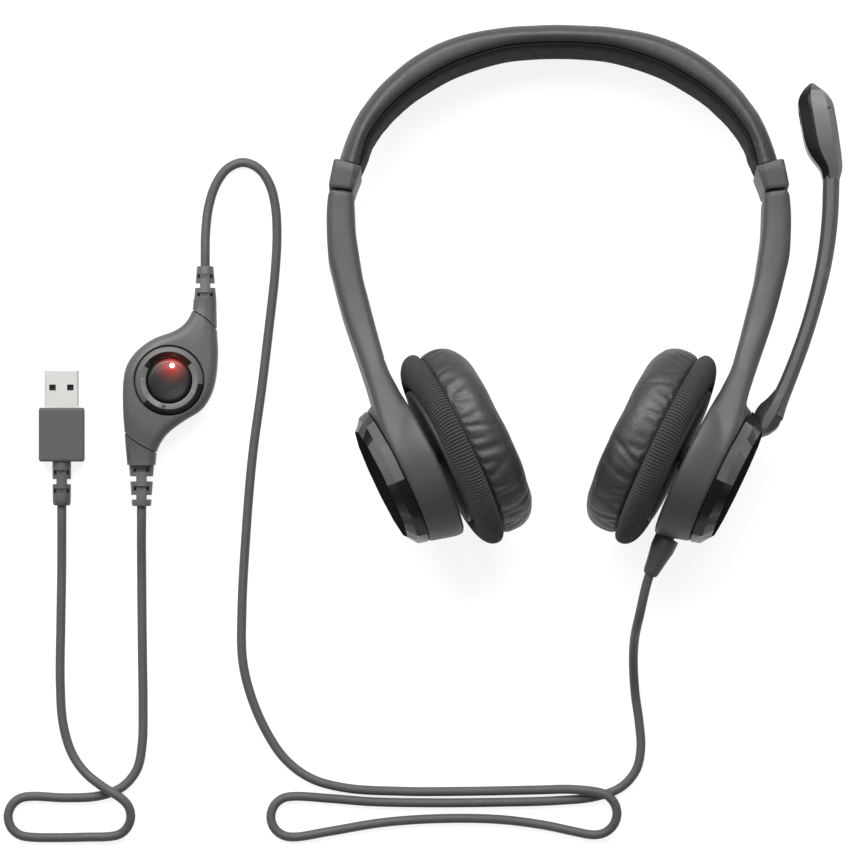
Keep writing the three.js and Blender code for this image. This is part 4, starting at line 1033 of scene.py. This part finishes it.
def knit_ring(side):
    out = catmull([np.array(p) for p in [[25.6, 10.75], [28.6, 10.15], [32.6, 11.2], [35.1, 13.1], [36.0, 15.3], [35.7, 17.0], [34.5, 18.15]]], 7)
    prof = np.concatenate([out, [[33.4, 18.3], [20.5, 18.3], [20.5, 11.6], [25.4, 11.6]]])
    nout = len(out)
    s = np.concatenate([[0], np.cumsum(np.linalg.norm(np.diff(prof, axis=0), axis=1))])
    per = 6
    seg = RIBS * per
    nrm = np.zeros_like(prof)
    for i in range(len(prof)):
        a, b = prof[max(i - 1, 0)], prof[min(i + 1, len(prof) - 1)]
        t = (b - a) / np.linalg.norm(b - a)
        nrm[i] = (t[1], -t[0])
    rnd = random.Random(11 if side == "left" else 23)
    ph = [rnd.uniform(0, 6.28) for _ in range(4)]
    ang = 2 * PI * np.arange(seg) / seg
    V = []
    for i, (r, z) in enumerate(prof):
        fade = 0.0
        if i < nout:
            x = i / (nout - 1)
            fade = min(1, x / 0.03) * min(1, (1 - x) / 0.05) if 0 < x < 1 else 0
            fade = max(0, min(1, fade))
        rib = np.abs(np.sin(ang * RIBS / 2)) ** 0.8
        stitch = 0.5 + 0.5 * math.cos(2 * PI * s[i] / 0.95)
        slack = 0.10 * np.sin(3 * ang + ph[0]) + 0.06 * np.sin(7 * ang + ph[1] + s[i] * 0.2)
        d = fade * (0.34 * (rib - 0.75) * (0.85 + 0.15 * stitch) + slack)
        rr, zz = r + nrm[i, 0] * d, z + nrm[i, 1] * d
        V.append(np.stack([rr * np.cos(ang), rr * np.sin(ang), zz], -1))
    V = np.array(V).reshape(-1, 3)
    n = len(prof)
    F, UV = [], []
    for k in range(n):
        k2 = (k + 1) % n
        for i in range(seg):
            j = (i + 1) % seg
            F.append([k * seg + i, k * seg + j, k2 * seg + j, k2 * seg + i])
            u0, u1 = i / per, (i + 1) / per
            v0, v1 = s[k] / 0.95, (s[k2] if k2 else s[k] + 1) / 0.95
            UV.append([(u0, v0), (u1, v0), (u1, v1), (u0, v1)])
    P = C(V)
    if side == "right":
        P = mx(P)
        F = [f[::-1] for f in F]
        UV = [u[::-1] for u in UV]
    me = bpy.data.meshes.new(f"{side}_knit_ring")
    me.from_pydata((H(P) * 0.001).tolist(), [], F)
    uvl = me.uv_layers.new(name="knit")
    uvl.data.foreach_set("uv", np.array(UV, float).reshape(-1))
    if signed_volume(me) < 0:
        me.flip_normals()
    o = bpy.data.objects.new(f"{side}_knit_ring", me)
    bpy.context.collection.objects.link(o)
    shade(o, 60)
    finish(o, KNIT, f"{side}_cup", [f"{side}_fabric_ring"])


both(knit_ring)


def puff(o, pin, pressure, cap_mm, frames=18, shrink=0.0, stiff=12.0):
    """cloth simulation with pressure, the pinned edge held, the rest free to swell and crease up to a cap"""
    vg = o.vertex_groups.new(name="pin")
    for i, w in enumerate(pin):
        if w > 0:
            vg.add([i], float(w), "REPLACE")
    rest = np.array([v.co[:] for v in o.data.vertices])
    m = o.modifiers.new("cloth", "CLOTH")
    st = m.settings
    st.quality = 6
    st.mass = 0.25
    st.tension_stiffness = stiff
    st.compression_stiffness = stiff
    st.shear_stiffness = 5
    st.bending_stiffness = 0.15
    st.air_damping = 3
    st.use_pressure = True
    st.uniform_pressure_force = pressure
    st.vertex_group_mass = "pin"
    st.pin_stiffness = 1
    st.shrink_min = shrink
    st.shrink_max = shrink
    st.effector_weights.gravity = 0
    m.collision_settings.use_self_collision = False
    m.collision_settings.use_collision = False
    sc = bpy.context.scene
    m.point_cache.frame_start, m.point_cache.frame_end = 1, frames
    sc.frame_start, sc.frame_end = 1, frames
    for f in range(1, frames + 1):
        sc.frame_set(f)
    dg = bpy.context.evaluated_depsgraph_get()
    ev = o.evaluated_get(dg)
    new = np.array([v.co[:] for v in ev.data.vertices])
    o.modifiers.clear()
    if len(new) == len(rest) and np.isfinite(new).all():
        d = new - rest
        l = np.linalg.norm(d, axis=1, keepdims=True)
        d *= np.minimum(1.0, cap_mm * 0.001 / np.maximum(l, 1e-9))
        o.data.vertices.foreach_set("co", (rest + d).astype(np.float32).ravel())
        o.data.update()
        print("cloth", o.name, "mean move mm", round(float(l.mean() * 1000), 3), "max", round(float(l.max() * 1000), 3))
    sc.frame_set(1)


def cushion(side):
    rnd = random.Random(5 if side == "left" else 8)
    out = catmull([np.array(p) for p in [[33.5, 18.95], [34.0, 20.2], [34.15, 23.2], [33.6, 26.6], [31.7, 29.8], [28.6, 31.9], [25.0, 32.6], [21.2, 31.8], [18.0, 29.2], [16.2, 25.4], [15.6, 21.6]]], 4)
    prof = np.concatenate([out, [[17.5, 21.2], [25.0, 20.9], [31.5, 20.6], [33.0, 19.6]]])
    nout = len(out)
    s = np.concatenate([[0], np.cumsum(np.linalg.norm(np.diff(prof, axis=0), axis=1))])
    seg = 220
    ang = 2 * PI * np.arange(seg) / seg
    folds = []
    for k in range(44):
        th = 2 * PI * (k + rnd.uniform(-0.35, 0.35)) / 44
        folds.append((th, rnd.uniform(0.018, 0.042), rnd.uniform(3.0, 9.5), rnd.uniform(0.15, 0.62), rnd.uniform(-0.012, 0.012), rnd.uniform(0, 3.0)))
    V = []
    for i, (r, z) in enumerate(prof):
        a, b = prof[max(i - 1, 0)], prof[min(i + 1, len(prof) - 1)]
        t = (b - a) / np.linalg.norm(b - a)
        nr = np.array([t[1], -t[0]])
        d = np.zeros(seg)
        if 0 < i < nout - 1:
            for th, wd, ln, am, bend, start in folds:
                da = (ang - th - bend * (s[i] - start) + PI) % (2 * PI) - PI
                g = np.exp(-(da / wd) ** 2)
                reach = min(1, s[i] / 1.2) * math.exp(-(max(0, s[i] - start) / ln) ** 2)
                d -= am * g * reach
                d += 0.45 * am * np.exp(-((np.abs(da) - 2.0 * wd) / wd) ** 2) * reach
            # the same along the ear opening
            back = s[nout - 1] - s[i]
            for th, wd, ln, am, bend, start in folds[::2]:
                da = (ang - th - 0.05 + PI) % (2 * PI) - PI
                d -= 0.7 * am * np.exp(-(da / (wd * 1.6)) ** 2) * math.exp(-(back / 6.0) ** 2)
            d += 0.12 * np.sin(5 * ang + s[i] * 0.12 + folds[0][0]) + 0.08 * np.sin(11 * ang - s[i] * 0.2)
        rr, zz = r + nr[0] * d, z + nr[1] * d
        V.append(np.stack([rr * np.cos(ang), rr * np.sin(ang), zz], -1))
    V = np.array(V).reshape(-1, 3)
    n = len(prof)
    F = []
    for k in range(n):
        k2 = (k + 1) % n
        for i in range(seg):
            j = (i + 1) % seg
            F.append([k * seg + i, k * seg + j, k2 * seg + j, k2 * seg + i])
    P = C(V)
    if side == "right":
        P = mx(P)
    o = mesh_object(f"{side}_leather_cushion", H(P), F, 70)
    pin = np.zeros(n * seg)
    for i in range(n):
        w = 1.0 if (i <= 1 or i >= nout - 2) else 0.0
        pin[i * seg:(i + 1) * seg] = w
    puff(o, pin, 3.0, 1.5, frames=16, shrink=-0.012)
    sub = o.modifiers.new("sub", "SUBSURF")
    sub.levels = sub.render_levels = 1
    apply_mods(o)
    shade(o, 75)
    finish(o, LEATHER, f"{side}_cup", [f"{side}_ear_cushion"])


both(cushion)

# ------------------------------------------------------------------ strain relief of the headset cord
def cup_relief():
    prof = fillet([[0, -3.2], [2.6, -3.2], [2.6, 0.2], [4.6, 0.2], [4.5, 4.4], [3.7, 8.5], [2.9, 13.5], [2.4, 14.6], [1.7, 14.6], [0, 14.5]], [0, 0, 0, 0.5, 1.2, 2.0, 1.0, 0.4, 0.2, 0], 4, closed=False)
    V, F = turned(prof, 48)
    # slightly flattened front to back
    V[:, 1] *= 0.94
    o = mesh_object("cup_strain_relief", H(gland(V)), F, 35)
    finish(o, MOULD, "right_arm", ["cord_relief"])
    return o


relief = cup_relief()


# ------------------------------------------------------------------ in-line control
def control():
    L = [[-128.2, 62.0], [-128.4, 56.0], [-128.6, 52.5], [-129.0, 49.2], [-131.2, 45.1], [-135.1, 42.1], [-142.8, 39.1], [-148.5, 34.9], [-152.0, 29.9], [-153.3, 24.3], [-153.4, 14.0], [-152.9, 6.3], [-152.5, 0.5], [-152.0, -5.4], [-151.7, -12.0]]
    R = [[-120.7, 58.0], [-120.6, 53.0], [-120.5, 47.5], [-120.4, 42.3], [-120.0, 34.2], [-120.6, 25.9], [-122.4, 19.3], [-126.0, 14.0], [-131.9, 10.2], [-136.8, 6.6], [-139.8, 3.1], [-141.6, -0.8], [-142.1, -5.4], [-142.3, -9.0], [-142.4, -14.0]]
    T = [[1.1, 10.4], [1.0, 10.5], [0.9, 10.7], [0.5, 11.4], [0.2, 12.2], [0.05, 12.8], [0, 13], [0, 13], [0, 13], [0, 12.9], [0.05, 12.6], [0.5, 11.6], [0.9, 10.8], [1.0, 10.5], [1.1, 10.4]]
    line = catmull([np.array([*a, *b, *t]) for a, b, t in zip(L, R, T)], 10)

    def build(name, inset=0.0, z0=None, z1=None):
        rings = []
        for ax, ay, bx, by, lo, hi in line:
            a, b = np.array([ax, ay, 0.0]), np.array([bx, by, 0.0])
            d = np.linalg.norm(b - a)
            u = (b - a) / d
            if inset:
                pts = [(inset, z0), (d - inset, z0), (d - inset, z1), (inset, z1)]
                rings.append(section(a, u, [0, 0, 1], fillet(pts, 0.6, 2)))
                continue
            w = min(4.2, d * 0.36)
            h = 3.3
            top = [(math.cos(q) , math.sin(q)) for q in np.linspace(0, PI / 2, 9)]
            pts = []
            pts += [(w * 0.45 * (1 - x), lo + 1.5 * (1 - y)) for x, y in top[::-1]]          # lower left
            pts = [(w * 0.45 * (1 - c) , lo + 1.5 * (1 - s_)) for c, s_ in top[::-1]]
            left_top = [(w * (1 - c), hi - h * (1 - s_)) for c, s_ in top]
            right_top = [(d - p, q) for p, q in left_top[::-1]]
            right_low = [(d - p, q) for p, q in pts[::-1]]
            crown = 0.25
            mid = [(w + (d - 2 * w) * k / 6, hi + crown * math.sin(PI * k / 6)) for k in range(1, 6)]
            loop = pts + left_top + mid + right_top + right_low
            rings.append(section(a, u, [0, 0, 1], loop))
        V, F = loft(D(np.array(rings)))
        return mesh_object(name, V, F, 40)

    def seam_cutter(a, b, gap, bow):
        """curved slit between the body and an end, from left to right"""
        a, b = np.array(a, float), np.array(b, float)
        t = (b - a) / np.linalg.norm(b - a)
        n = np.array([-t[1], t[0]])
        pts = []
        ks = np.linspace(-0.35, 1.35, 18)
        for k in ks:
            pts.append(a + (b - a) * k + n * (bow * math.sin(PI * min(max(k, 0), 1)) + gap / 2))
        for k in ks[::-1]:
            pts.append(a + (b - a) * k + n * (bow * math.sin(PI * min(max(k, 0), 1)) - gap / 2))
        rings = [[(x, y, z) for x, y in pts] for z in (-2, 16)]
        V, F = loft(D(np.array(rings)))
        return mesh_object("cutter", V, F)

    top_seam = ([-129.2, 49.4], [-120.45, 42.55])
    low_seam = ([-152.95, 6.1], [-141.6, -1.0])

    def half_plane(seam, up, bow=0.5, reach=130):
        a, b = (np.array(p, float) for p in seam)
        t = (b - a) / np.linalg.norm(b - a)
        n = np.array([-t[1], t[0]])
        ks = np.linspace(-6.0, 7.0, 131)
        edge = [a + (b - a) * k + n * (bow * math.sin(PI * min(max(k, 0), 1)) + (-0.22 if up else 0.22)) for k in ks]
        far = [edge[-1] + n * (reach if up else -reach), edge[0] + n * (reach if up else -reach)]
        rings = [[(x, y, z) for x, y in edge + far] for z in (-3, 18)]
        V, F = loft(D(np.array(rings)))
        return mesh_object("cutter", V, F)

    tongues = []
    body = build("control_front_shell")
    boolean(body, [half_plane(top_seam, True, bow=0.7), half_plane(low_seam, False, bow=-0.7)], angle=35)
    rear = duplicate(body, "control_rear_shell")
    boolean(body, [block(-170, -100, -30, 80, -5, 6.62)], angle=35)
    boolean(rear, [block(-170, -100, -30, 80, 6.38, 30)], angle=35)
    boolean(rear, [build("cutter", 2.2, 1.6, 9.0)], angle=35)
    v, f = turned([[0, 5], [12.4, 5], [12.4, 12.55], [12.75, 13.0], [13.4, 20], [0, 20]], 128)
    hole = mesh_object("cutter", D(v + np.array([DIAL[0], DIAL[1], 0])), f)
    boolean(body, [build("cutter", 2.6, 5.0, 10.6)], angle=35)
    boolean(body, [hole], angle=35)
    for nm, y0_, y1_ in (("control_top_tongue", 39.5, 52.0), ("control_bottom_tongue", -4.0, 9.5)):
        tg = build(nm, 0.55, 1.9, 9.6)
        boolean(tg, [block(-180, -90, y1_, 140, -10, 30), block(-180, -90, -140, y0_, -10, 30)], angle=35)
        finish(tg, DARK, "right_arm", ())
        tongues.append(tg)
    finish(body, GRAPHITE_SOFT, "right_arm", ["control_front"])
    finish(rear, GRAPHITE_SOFT, "right_arm", ["control_rear"])

    def end_piece(name, node_name, seam, up, y_cut, x, y0, y1, r0, r1, grooves):
        cap = build("cap")
        # keep the part beyond the seam and up to its flat end
        far = [block(-180, -90, y_cut, 120, -10, 30)] if up else [block(-180, -90, -120, y_cut, -10, 30)]
        boolean(cap, [half_plane(seam, not up, bow=0.7 if up else -0.7)], angle=35)
        boolean(cap, far, angle=35)
        # tapering bush
        sgn = 1 if up else -1
        L_ = abs(y1 - y0) + 1.2
        prof = fillet([[0, -1.2], [r0, -1.2], [r0, 0.5], [r1, L_ - 1.2], [1.72, L_ - 1.2], [0, L_ - 1.2]], [0, 0, 0, 0.5, 0.1, 0], 3, closed=False)
        v_, f_ = turned(prof, 48)
        p = np.stack([x + v_[:, 0], y0 + sgn * v_[:, 2], CM + v_[:, 1] * 0.92], -1)
        bush = mesh_object("bush", D(p), f_)
        cutters = []
        for kind, g0, g1 in grooves:
            ya, yb = sorted((y0 + sgn * g0, y0 + sgn * g1))
            if kind == "notch":          # open at both sides, a web left in the middle
                cutters.append(block(x - 9, x - 1.75, ya, yb, -2, 14))
                cutters.append(block(x + 1.75, x + 9, ya, yb, -2, 14))
            else:                        # open through from front to back, beside the middle web
                for za, zb in ((-2, CM - 0.3), (CM + 0.3, 14)):
                    cutters.append(block(x - 2.75, x - 1.72, ya, yb, za, zb))
                    cutters.append(block(x + 1.72, x + 2.75, ya, yb, za, zb))
                cutters.append(block(x - 1.9, x + 1.9, ya, yb, CM + 2.6, 14))
        boolean(bush, cutters, angle=35)
        boolean(cap, [bush], "UNION", angle=35)
        cap.name = name
        finish(cap, GRAPHITE_SOFT, "right_arm", [node_name])
        return cap
    top = end_piece("control_top_bush", "control_top_relief", top_seam, True, 53.3, -124.5, 53.0, 64.9, 3.9, 2.9,
                    [("window", 1.2, 2.6), ("notch", 4.2, 5.8), ("window", 7.6, 9.0)])
    low = end_piece("control_bottom_bush", "control_bottom_relief", low_seam, False, -5.4, -147.0, -5.2, -19.9, 4.4, 3.4,
                    [("window", 1.0, 2.6), ("notch", 4.2, 6.0), ("window", 7.6, 9.2), ("notch", 10.8, 12.4)])

    # rocker ring: sloped outer band, flat inner band in broad faces of different tilt
    seg = 240
    faces = [(-150, -112, 0.16), (-112, -24, -0.04), (-24, 38, 0.10), (38, 138, 0.62), (138, 176, 0.22), (176, 210, 0.05)]

    def tilt(a):
        d = math.degrees(a)
        while d > 210:
            d -= 360
        while d < -150:
            d += 360
        for a0, a1, k in faces:
            if a0 <= d < a1:
                return k
        return 0.1
    V, F = [], []
    cols = [[8.2, 8.2], [12.05, 8.2], [12.05, 12.25], [11.85, 12.75], [11.2, 13.2], [10.45, 13.46], [10.2, 13.5], [10.1, 13.42], [8.55, None], [8.25, None], [8.2, 12.2]]
    for r, z in cols:
        for i in range(seg):
            a = 2 * PI * i / seg
            k = tilt(a)
            zz = z if z is not None else 13.38 - k * (10.1 - r) - (0.12 if r < 8.4 else 0)
            V.append((DIAL[0] + r * math.cos(a), DIAL[1] + r * math.sin(a), zz))
    n = len(cols)
    for k in range(n):
        k2 = (k + 1) % n
        for i in range(seg):
            j = (i + 1) % seg
            F.append([k * seg + i, k * seg + j, k2 * seg + j, k2 * seg + i])
    ring = mesh_object("volume_ring", D(np.array(V)), F, 22)
    finish(ring, RING_PAINTED_GLOW, "volume_rocker", ["volume_rocker"])
    ring.data.materials.append(RING_PAINTED_SHADE_AND_GLOW)
    ring.data.materials.append(RING_PAINTED_HIGHLIGHT)
    # painted shade on the inner band's upper sectors and the outer band's lower right, painted highlight on the rest of
    # the inner band
    for q in ring.data.polygons:
        k, i = divmod(q.index, seg)
        d = 360 * (i + 0.5) / seg
        if 7 <= k <= 8:
            q.material_index = 1 if 38 < d < 150 else 2
        elif k <= 6 and 222 < d < 354:
            q.material_index = 1
    # generic plus and minus marks on the ring
    def mark(name, ang, plus):
        c = DIAL + 9.25 * np.array([math.cos(ang), math.sin(ang)])
        zt = 13.38 - tilt(ang) * (10.1 - 9.25)
        V_, F_ = [], []
        arms_ = [(0.62, 0.13)] + ([(0.13, 0.62)] if plus else [])
        if plus:
            t_, l_ = 0.23, 0.85
            loop = [(-l_, -t_), (-t_, -t_), (-t_, -l_), (t_, -l_), (t_, -t_), (l_, -t_), (l_, t_), (t_, t_), (t_, l_), (-t_, l_), (-t_, t_), (-l_, t_)]
        else:
            t_, l_ = 0.23, 0.85
            loop = [(-l_, -t_), (l_, -t_), (l_, t_), (-l_, t_)]
        ca, sa = math.cos(0.25), math.sin(0.25)
        rings = [[(c[0] + p * ca - q * sa, c[1] + p * sa + q * ca, z) for p, q in loop] for z in (zt - 0.3, zt + 0.10)]
        V_, F_ = loft(D(np.array(rings)))
        o = mesh_object(name, V_, F_, 20)
        finish(o, DARK, "volume_rocker", ())
        return o
    m1 = mark("volume_mark_up", math.atan2(15.3 - DIAL[1], -138.9 - DIAL[0]), True)
    m2 = mark("volume_mark_down", math.atan2(-(15.3 - DIAL[1]), 138.9 + DIAL[0]), False)

    prof = fillet([[0, 8.6], [7.3, 8.6], [7.8, 9.1], [7.8, 12.5], [7.0, 13.45], [4.0, 13.88], [0, 14.0]], [0, 0.2, 0.3, 1.0, 1.6, 3, 0], 5, closed=False)
    v, f = turned(prof, 120)
    but = mesh_object("mute_cap", D(v + np.array([DIAL[0], DIAL[1], 0])), f, 35)
    v, f = turned([[0, 10.4], [1.05, 10.4], [1.05, 16], [0, 16]], 40)
    boolean(but, [mesh_object("cutter", D(v + np.array([LED[0], LED[1], 0])), f)], angle=35)
    finish(but, BUTTON_PAINTED_GLOW, "mute_button", ["mute_button"])
    prof = fillet([[0, 10.7], [0.86, 10.7], [0.86, 13.7], [0.0, 14.0]], [0, 0, 0.35, 0], 4, closed=False)
    v, f = turned(prof, 32)
    led = mesh_object("mute_lamp", D(v + np.array([LED[0], LED[1], 0])), f, 40)
    finish(led, LAMP, "mute_button", ["mute_led"])
    return [body, rear, top, low, ring, m1, m2, but, led, *tongues]


control_pieces = control()


# ------------------------------------------------------------------ USB plug
def usb():
    x, z = PLUG_X, PLUG_Z

    def tube(w, t, r, y0, y1, lip=0.0):
        rings = []
        ys = [y0, y0 + 0.01, y1 - 0.25, y1] if lip else [y0, y1]
        ins = [0, 0, 0, lip] if lip else [0, 0]
        for y, i in zip(ys, ins):
            pts = fillet([(-w / 2 + i, -t / 2 + i), (w / 2 - i, -t / 2 + i), (w / 2 - i, t / 2 - i), (-w / 2 + i, t / 2 - i)], r, 4)
            rings.append([(x + p, y, z + q) for p, q in pts])
        V, F = loft(D(np.array(rings)))
        return mesh_object("tube", V, F, 30)
    shell = tube(12.0, 4.5, 0.55, 15.2, 28.2, 0.08)
    cut = [tube(11.3, 3.8, 0.35, 15.9, 31)]
    for wx in (-3.15, 3.15):
        cut.append(block(x + wx - 1.15, x + wx + 1.15, 20.95, 23.05, -3, 14))
    # folded joint of the sheet on the back
    cut.append(block(x - 0.05, x + 0.05, 14.0, 30, -3, z - 1.95))
    boolean(shell, cut, angle=30)
    shade(shell, 8)
    shell.name = "usb_metal_shell"
    finish(shell, NICKEL, "right_arm", ["usb_shell"])

    # overmould: rounded block with rounded ends
    rings = []
    ys = [14.9, 14.78, 14.45, 13.9, -3.2, -3.75, -4.08, -4.2]
    ins = [0.75, 0.38, 0.1, 0, 0, 0.1, 0.38, 0.75]
    for y, i in zip(ys, ins):
        pts = fillet([(-8 + i, 0.02 + i), (8 - i, 0.02 + i), (8 - i, 8.4 - i), (-8 + i, 8.4 - i)], 0.95, 5)
        rings.append([(x + p, y, q) for p, q in pts])
    V, F = loft(D(np.array(rings)))
    mould = mesh_object("usb_grip", V, F, 9)
    finish(mould, MOULD, "right_arm", ["usb_overmould"])

    prof = fillet([[0, -0.4], [3.3, -0.4], [3.3, 1.0], [3.2, 13.9], [2.9, 15.2], [1.72, 15.2], [0, 15.2]], [0, 0, 0, 0.6, 0.5, 0.1, 0], 3, closed=False)
    v, f = turned(prof, 56)
    bush = mesh_object("usb_bush", D(np.stack([x + v[:, 0], -4.5 - v[:, 2], z + v[:, 1]], -1)), f, 35)
    cutters = []
    for kind, g0, g1 in [("window", 2.7, 4.3), ("notch", 5.9, 7.7), ("window", 9.2, 10.8)]:
        ya, yb = -4.5 - g1, -4.5 - g0
        if kind == "notch":
            cutters += [block(x - 9, x - 1.75, ya, yb, -3, 14), block(x + 1.75, x + 9, ya, yb, -3, 14)]
        else:
            for za, zb in ((-3, z - 0.3), (z + 0.3, 14)):
                cutters += [block(x - 2.7, x - 1.72, ya, yb, za, zb), block(x + 1.72, x + 2.7, ya, yb, za, zb)]
            cutters += [block(x - 1.9, x + 1.9, ya, yb, z + 2.5, 14)]
    boolean(bush, cutters, angle=35)
    finish(bush, MOULD, "right_arm", ["usb_relief"])
    return [shell, mould, bush]


usb_pieces = usb()

# ------------------------------------------------------------------ CAD nodes that stay, with their materials
KEEP = {
    "headband_spring": STEEL, "left_slider_strip": STEEL, "right_slider_strip": STEEL,
    "left_ball_socket": DARK, "right_ball_socket": DARK, "boom_bearing": DARK,
    "left_driver": DARK, "right_driver": DARK, "left_driver_magnet": MAGNET, "right_driver_magnet": MAGNET,
    "mic_capsule": MAGNET, "control_board": BOARD, "mute_switch": DARK, "usb_tongue": DARK,
}
for name, m in KEEP.items():
    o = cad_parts[name]
    o.data.materials.clear()
    o.data.materials.append(m)
    if name.endswith("slider_strip"):
        bevel(o, 0.2, 2)

tuple(H(gland([0, 0, 4.0])) * 0.001)
print("cord lengths", round(headset_len, 4), round(plug_len, 4))


# ------------------------------------------------------------------ floor, light and view
def studio():
    V = [(-6, -6, 0), (6, -6, 0), (6, 6, 0), (-6, 6, 0)]
    me = bpy.data.meshes.new("floor")
    me.from_pydata([Vector(v) for v in V], [], [[0, 1, 2, 3]])
    floor = bpy.data.objects.new("floor", me)
    bpy.context.collection.objects.link(floor)
    m, nt, b = new_mat("floor_paper")
    f = tex_noise(nt, coords(nt), 30, 2)
    nt.links.new(ramp(nt, f, [(0.3, (0.27, 0.27, 0.27)), (0.7, (0.29, 0.29, 0.29))]), b.inputs["Base Color"])
    far = nt.nodes.new("ShaderNodeVectorMath")
    far.operation = "DISTANCE"
    nt.links.new(coords(nt), far.inputs[0])
    far.inputs[1].default_value = (-0.056, -0.044, 0.0)
    g = map_range(nt, far.outputs["Value"], 1.0, 0.3, 0.24, 0.62)
    nt.links.new(mix_colour(nt, g, (0.0, 0.0, 0.0), (1.0, 1.0, 1.0)), b.inputs["Emission Color"])
    b.inputs["Emission Strength"].default_value = 0.82
    b.inputs["Roughness"].default_value = 0.9
    b.inputs["Specular IOR Level"].default_value = 0.1
    me.materials.append(m)

    def area(name, loc, target, sx, sy, power):
        d = bpy.data.lights.new(name, "AREA")
        d.shape = "RECTANGLE"
        d.size, d.size_y = sx, sy
        d.energy = power
        o = bpy.data.objects.new(name, d)
        bpy.context.collection.objects.link(o)
        o.location = loc
        o.rotation_mode = "QUATERNION"
        o.rotation_quaternion = (Vector(target) - Vector(loc)).to_track_quat("-Z", "Y")
        return o
    c = (-0.05, -0.03, 0.02)
    area("key", (-0.3, 1.3, 1.45), c, 2.4, 1.5, 84)
    area("left_strip", (-1.5, 0.15, 0.9), c, 0.5, 1.6, 3)
    area("right_strip", (1.5, 0.35, 0.75), c, 0.3, 1.2, 1.5)
    area("front", (0.1, -0.6, 2.3), c, 1.0, 0.8, 7)
    w = bpy.data.worlds.new("studio")
    bpy.context.scene.world = w
    w.use_nodes = True
    bg = w.node_tree.nodes["Background"]
    bg.inputs["Color"].default_value = (1, 1, 1, 1)
    bg.inputs["Strength"].default_value = 0.22
    vs = bpy.context.scene.view_settings
    vs.view_transform = "Standard"
    vs.look = "None"
    vs.exposure = 0
    vs.gamma = 1


studio()
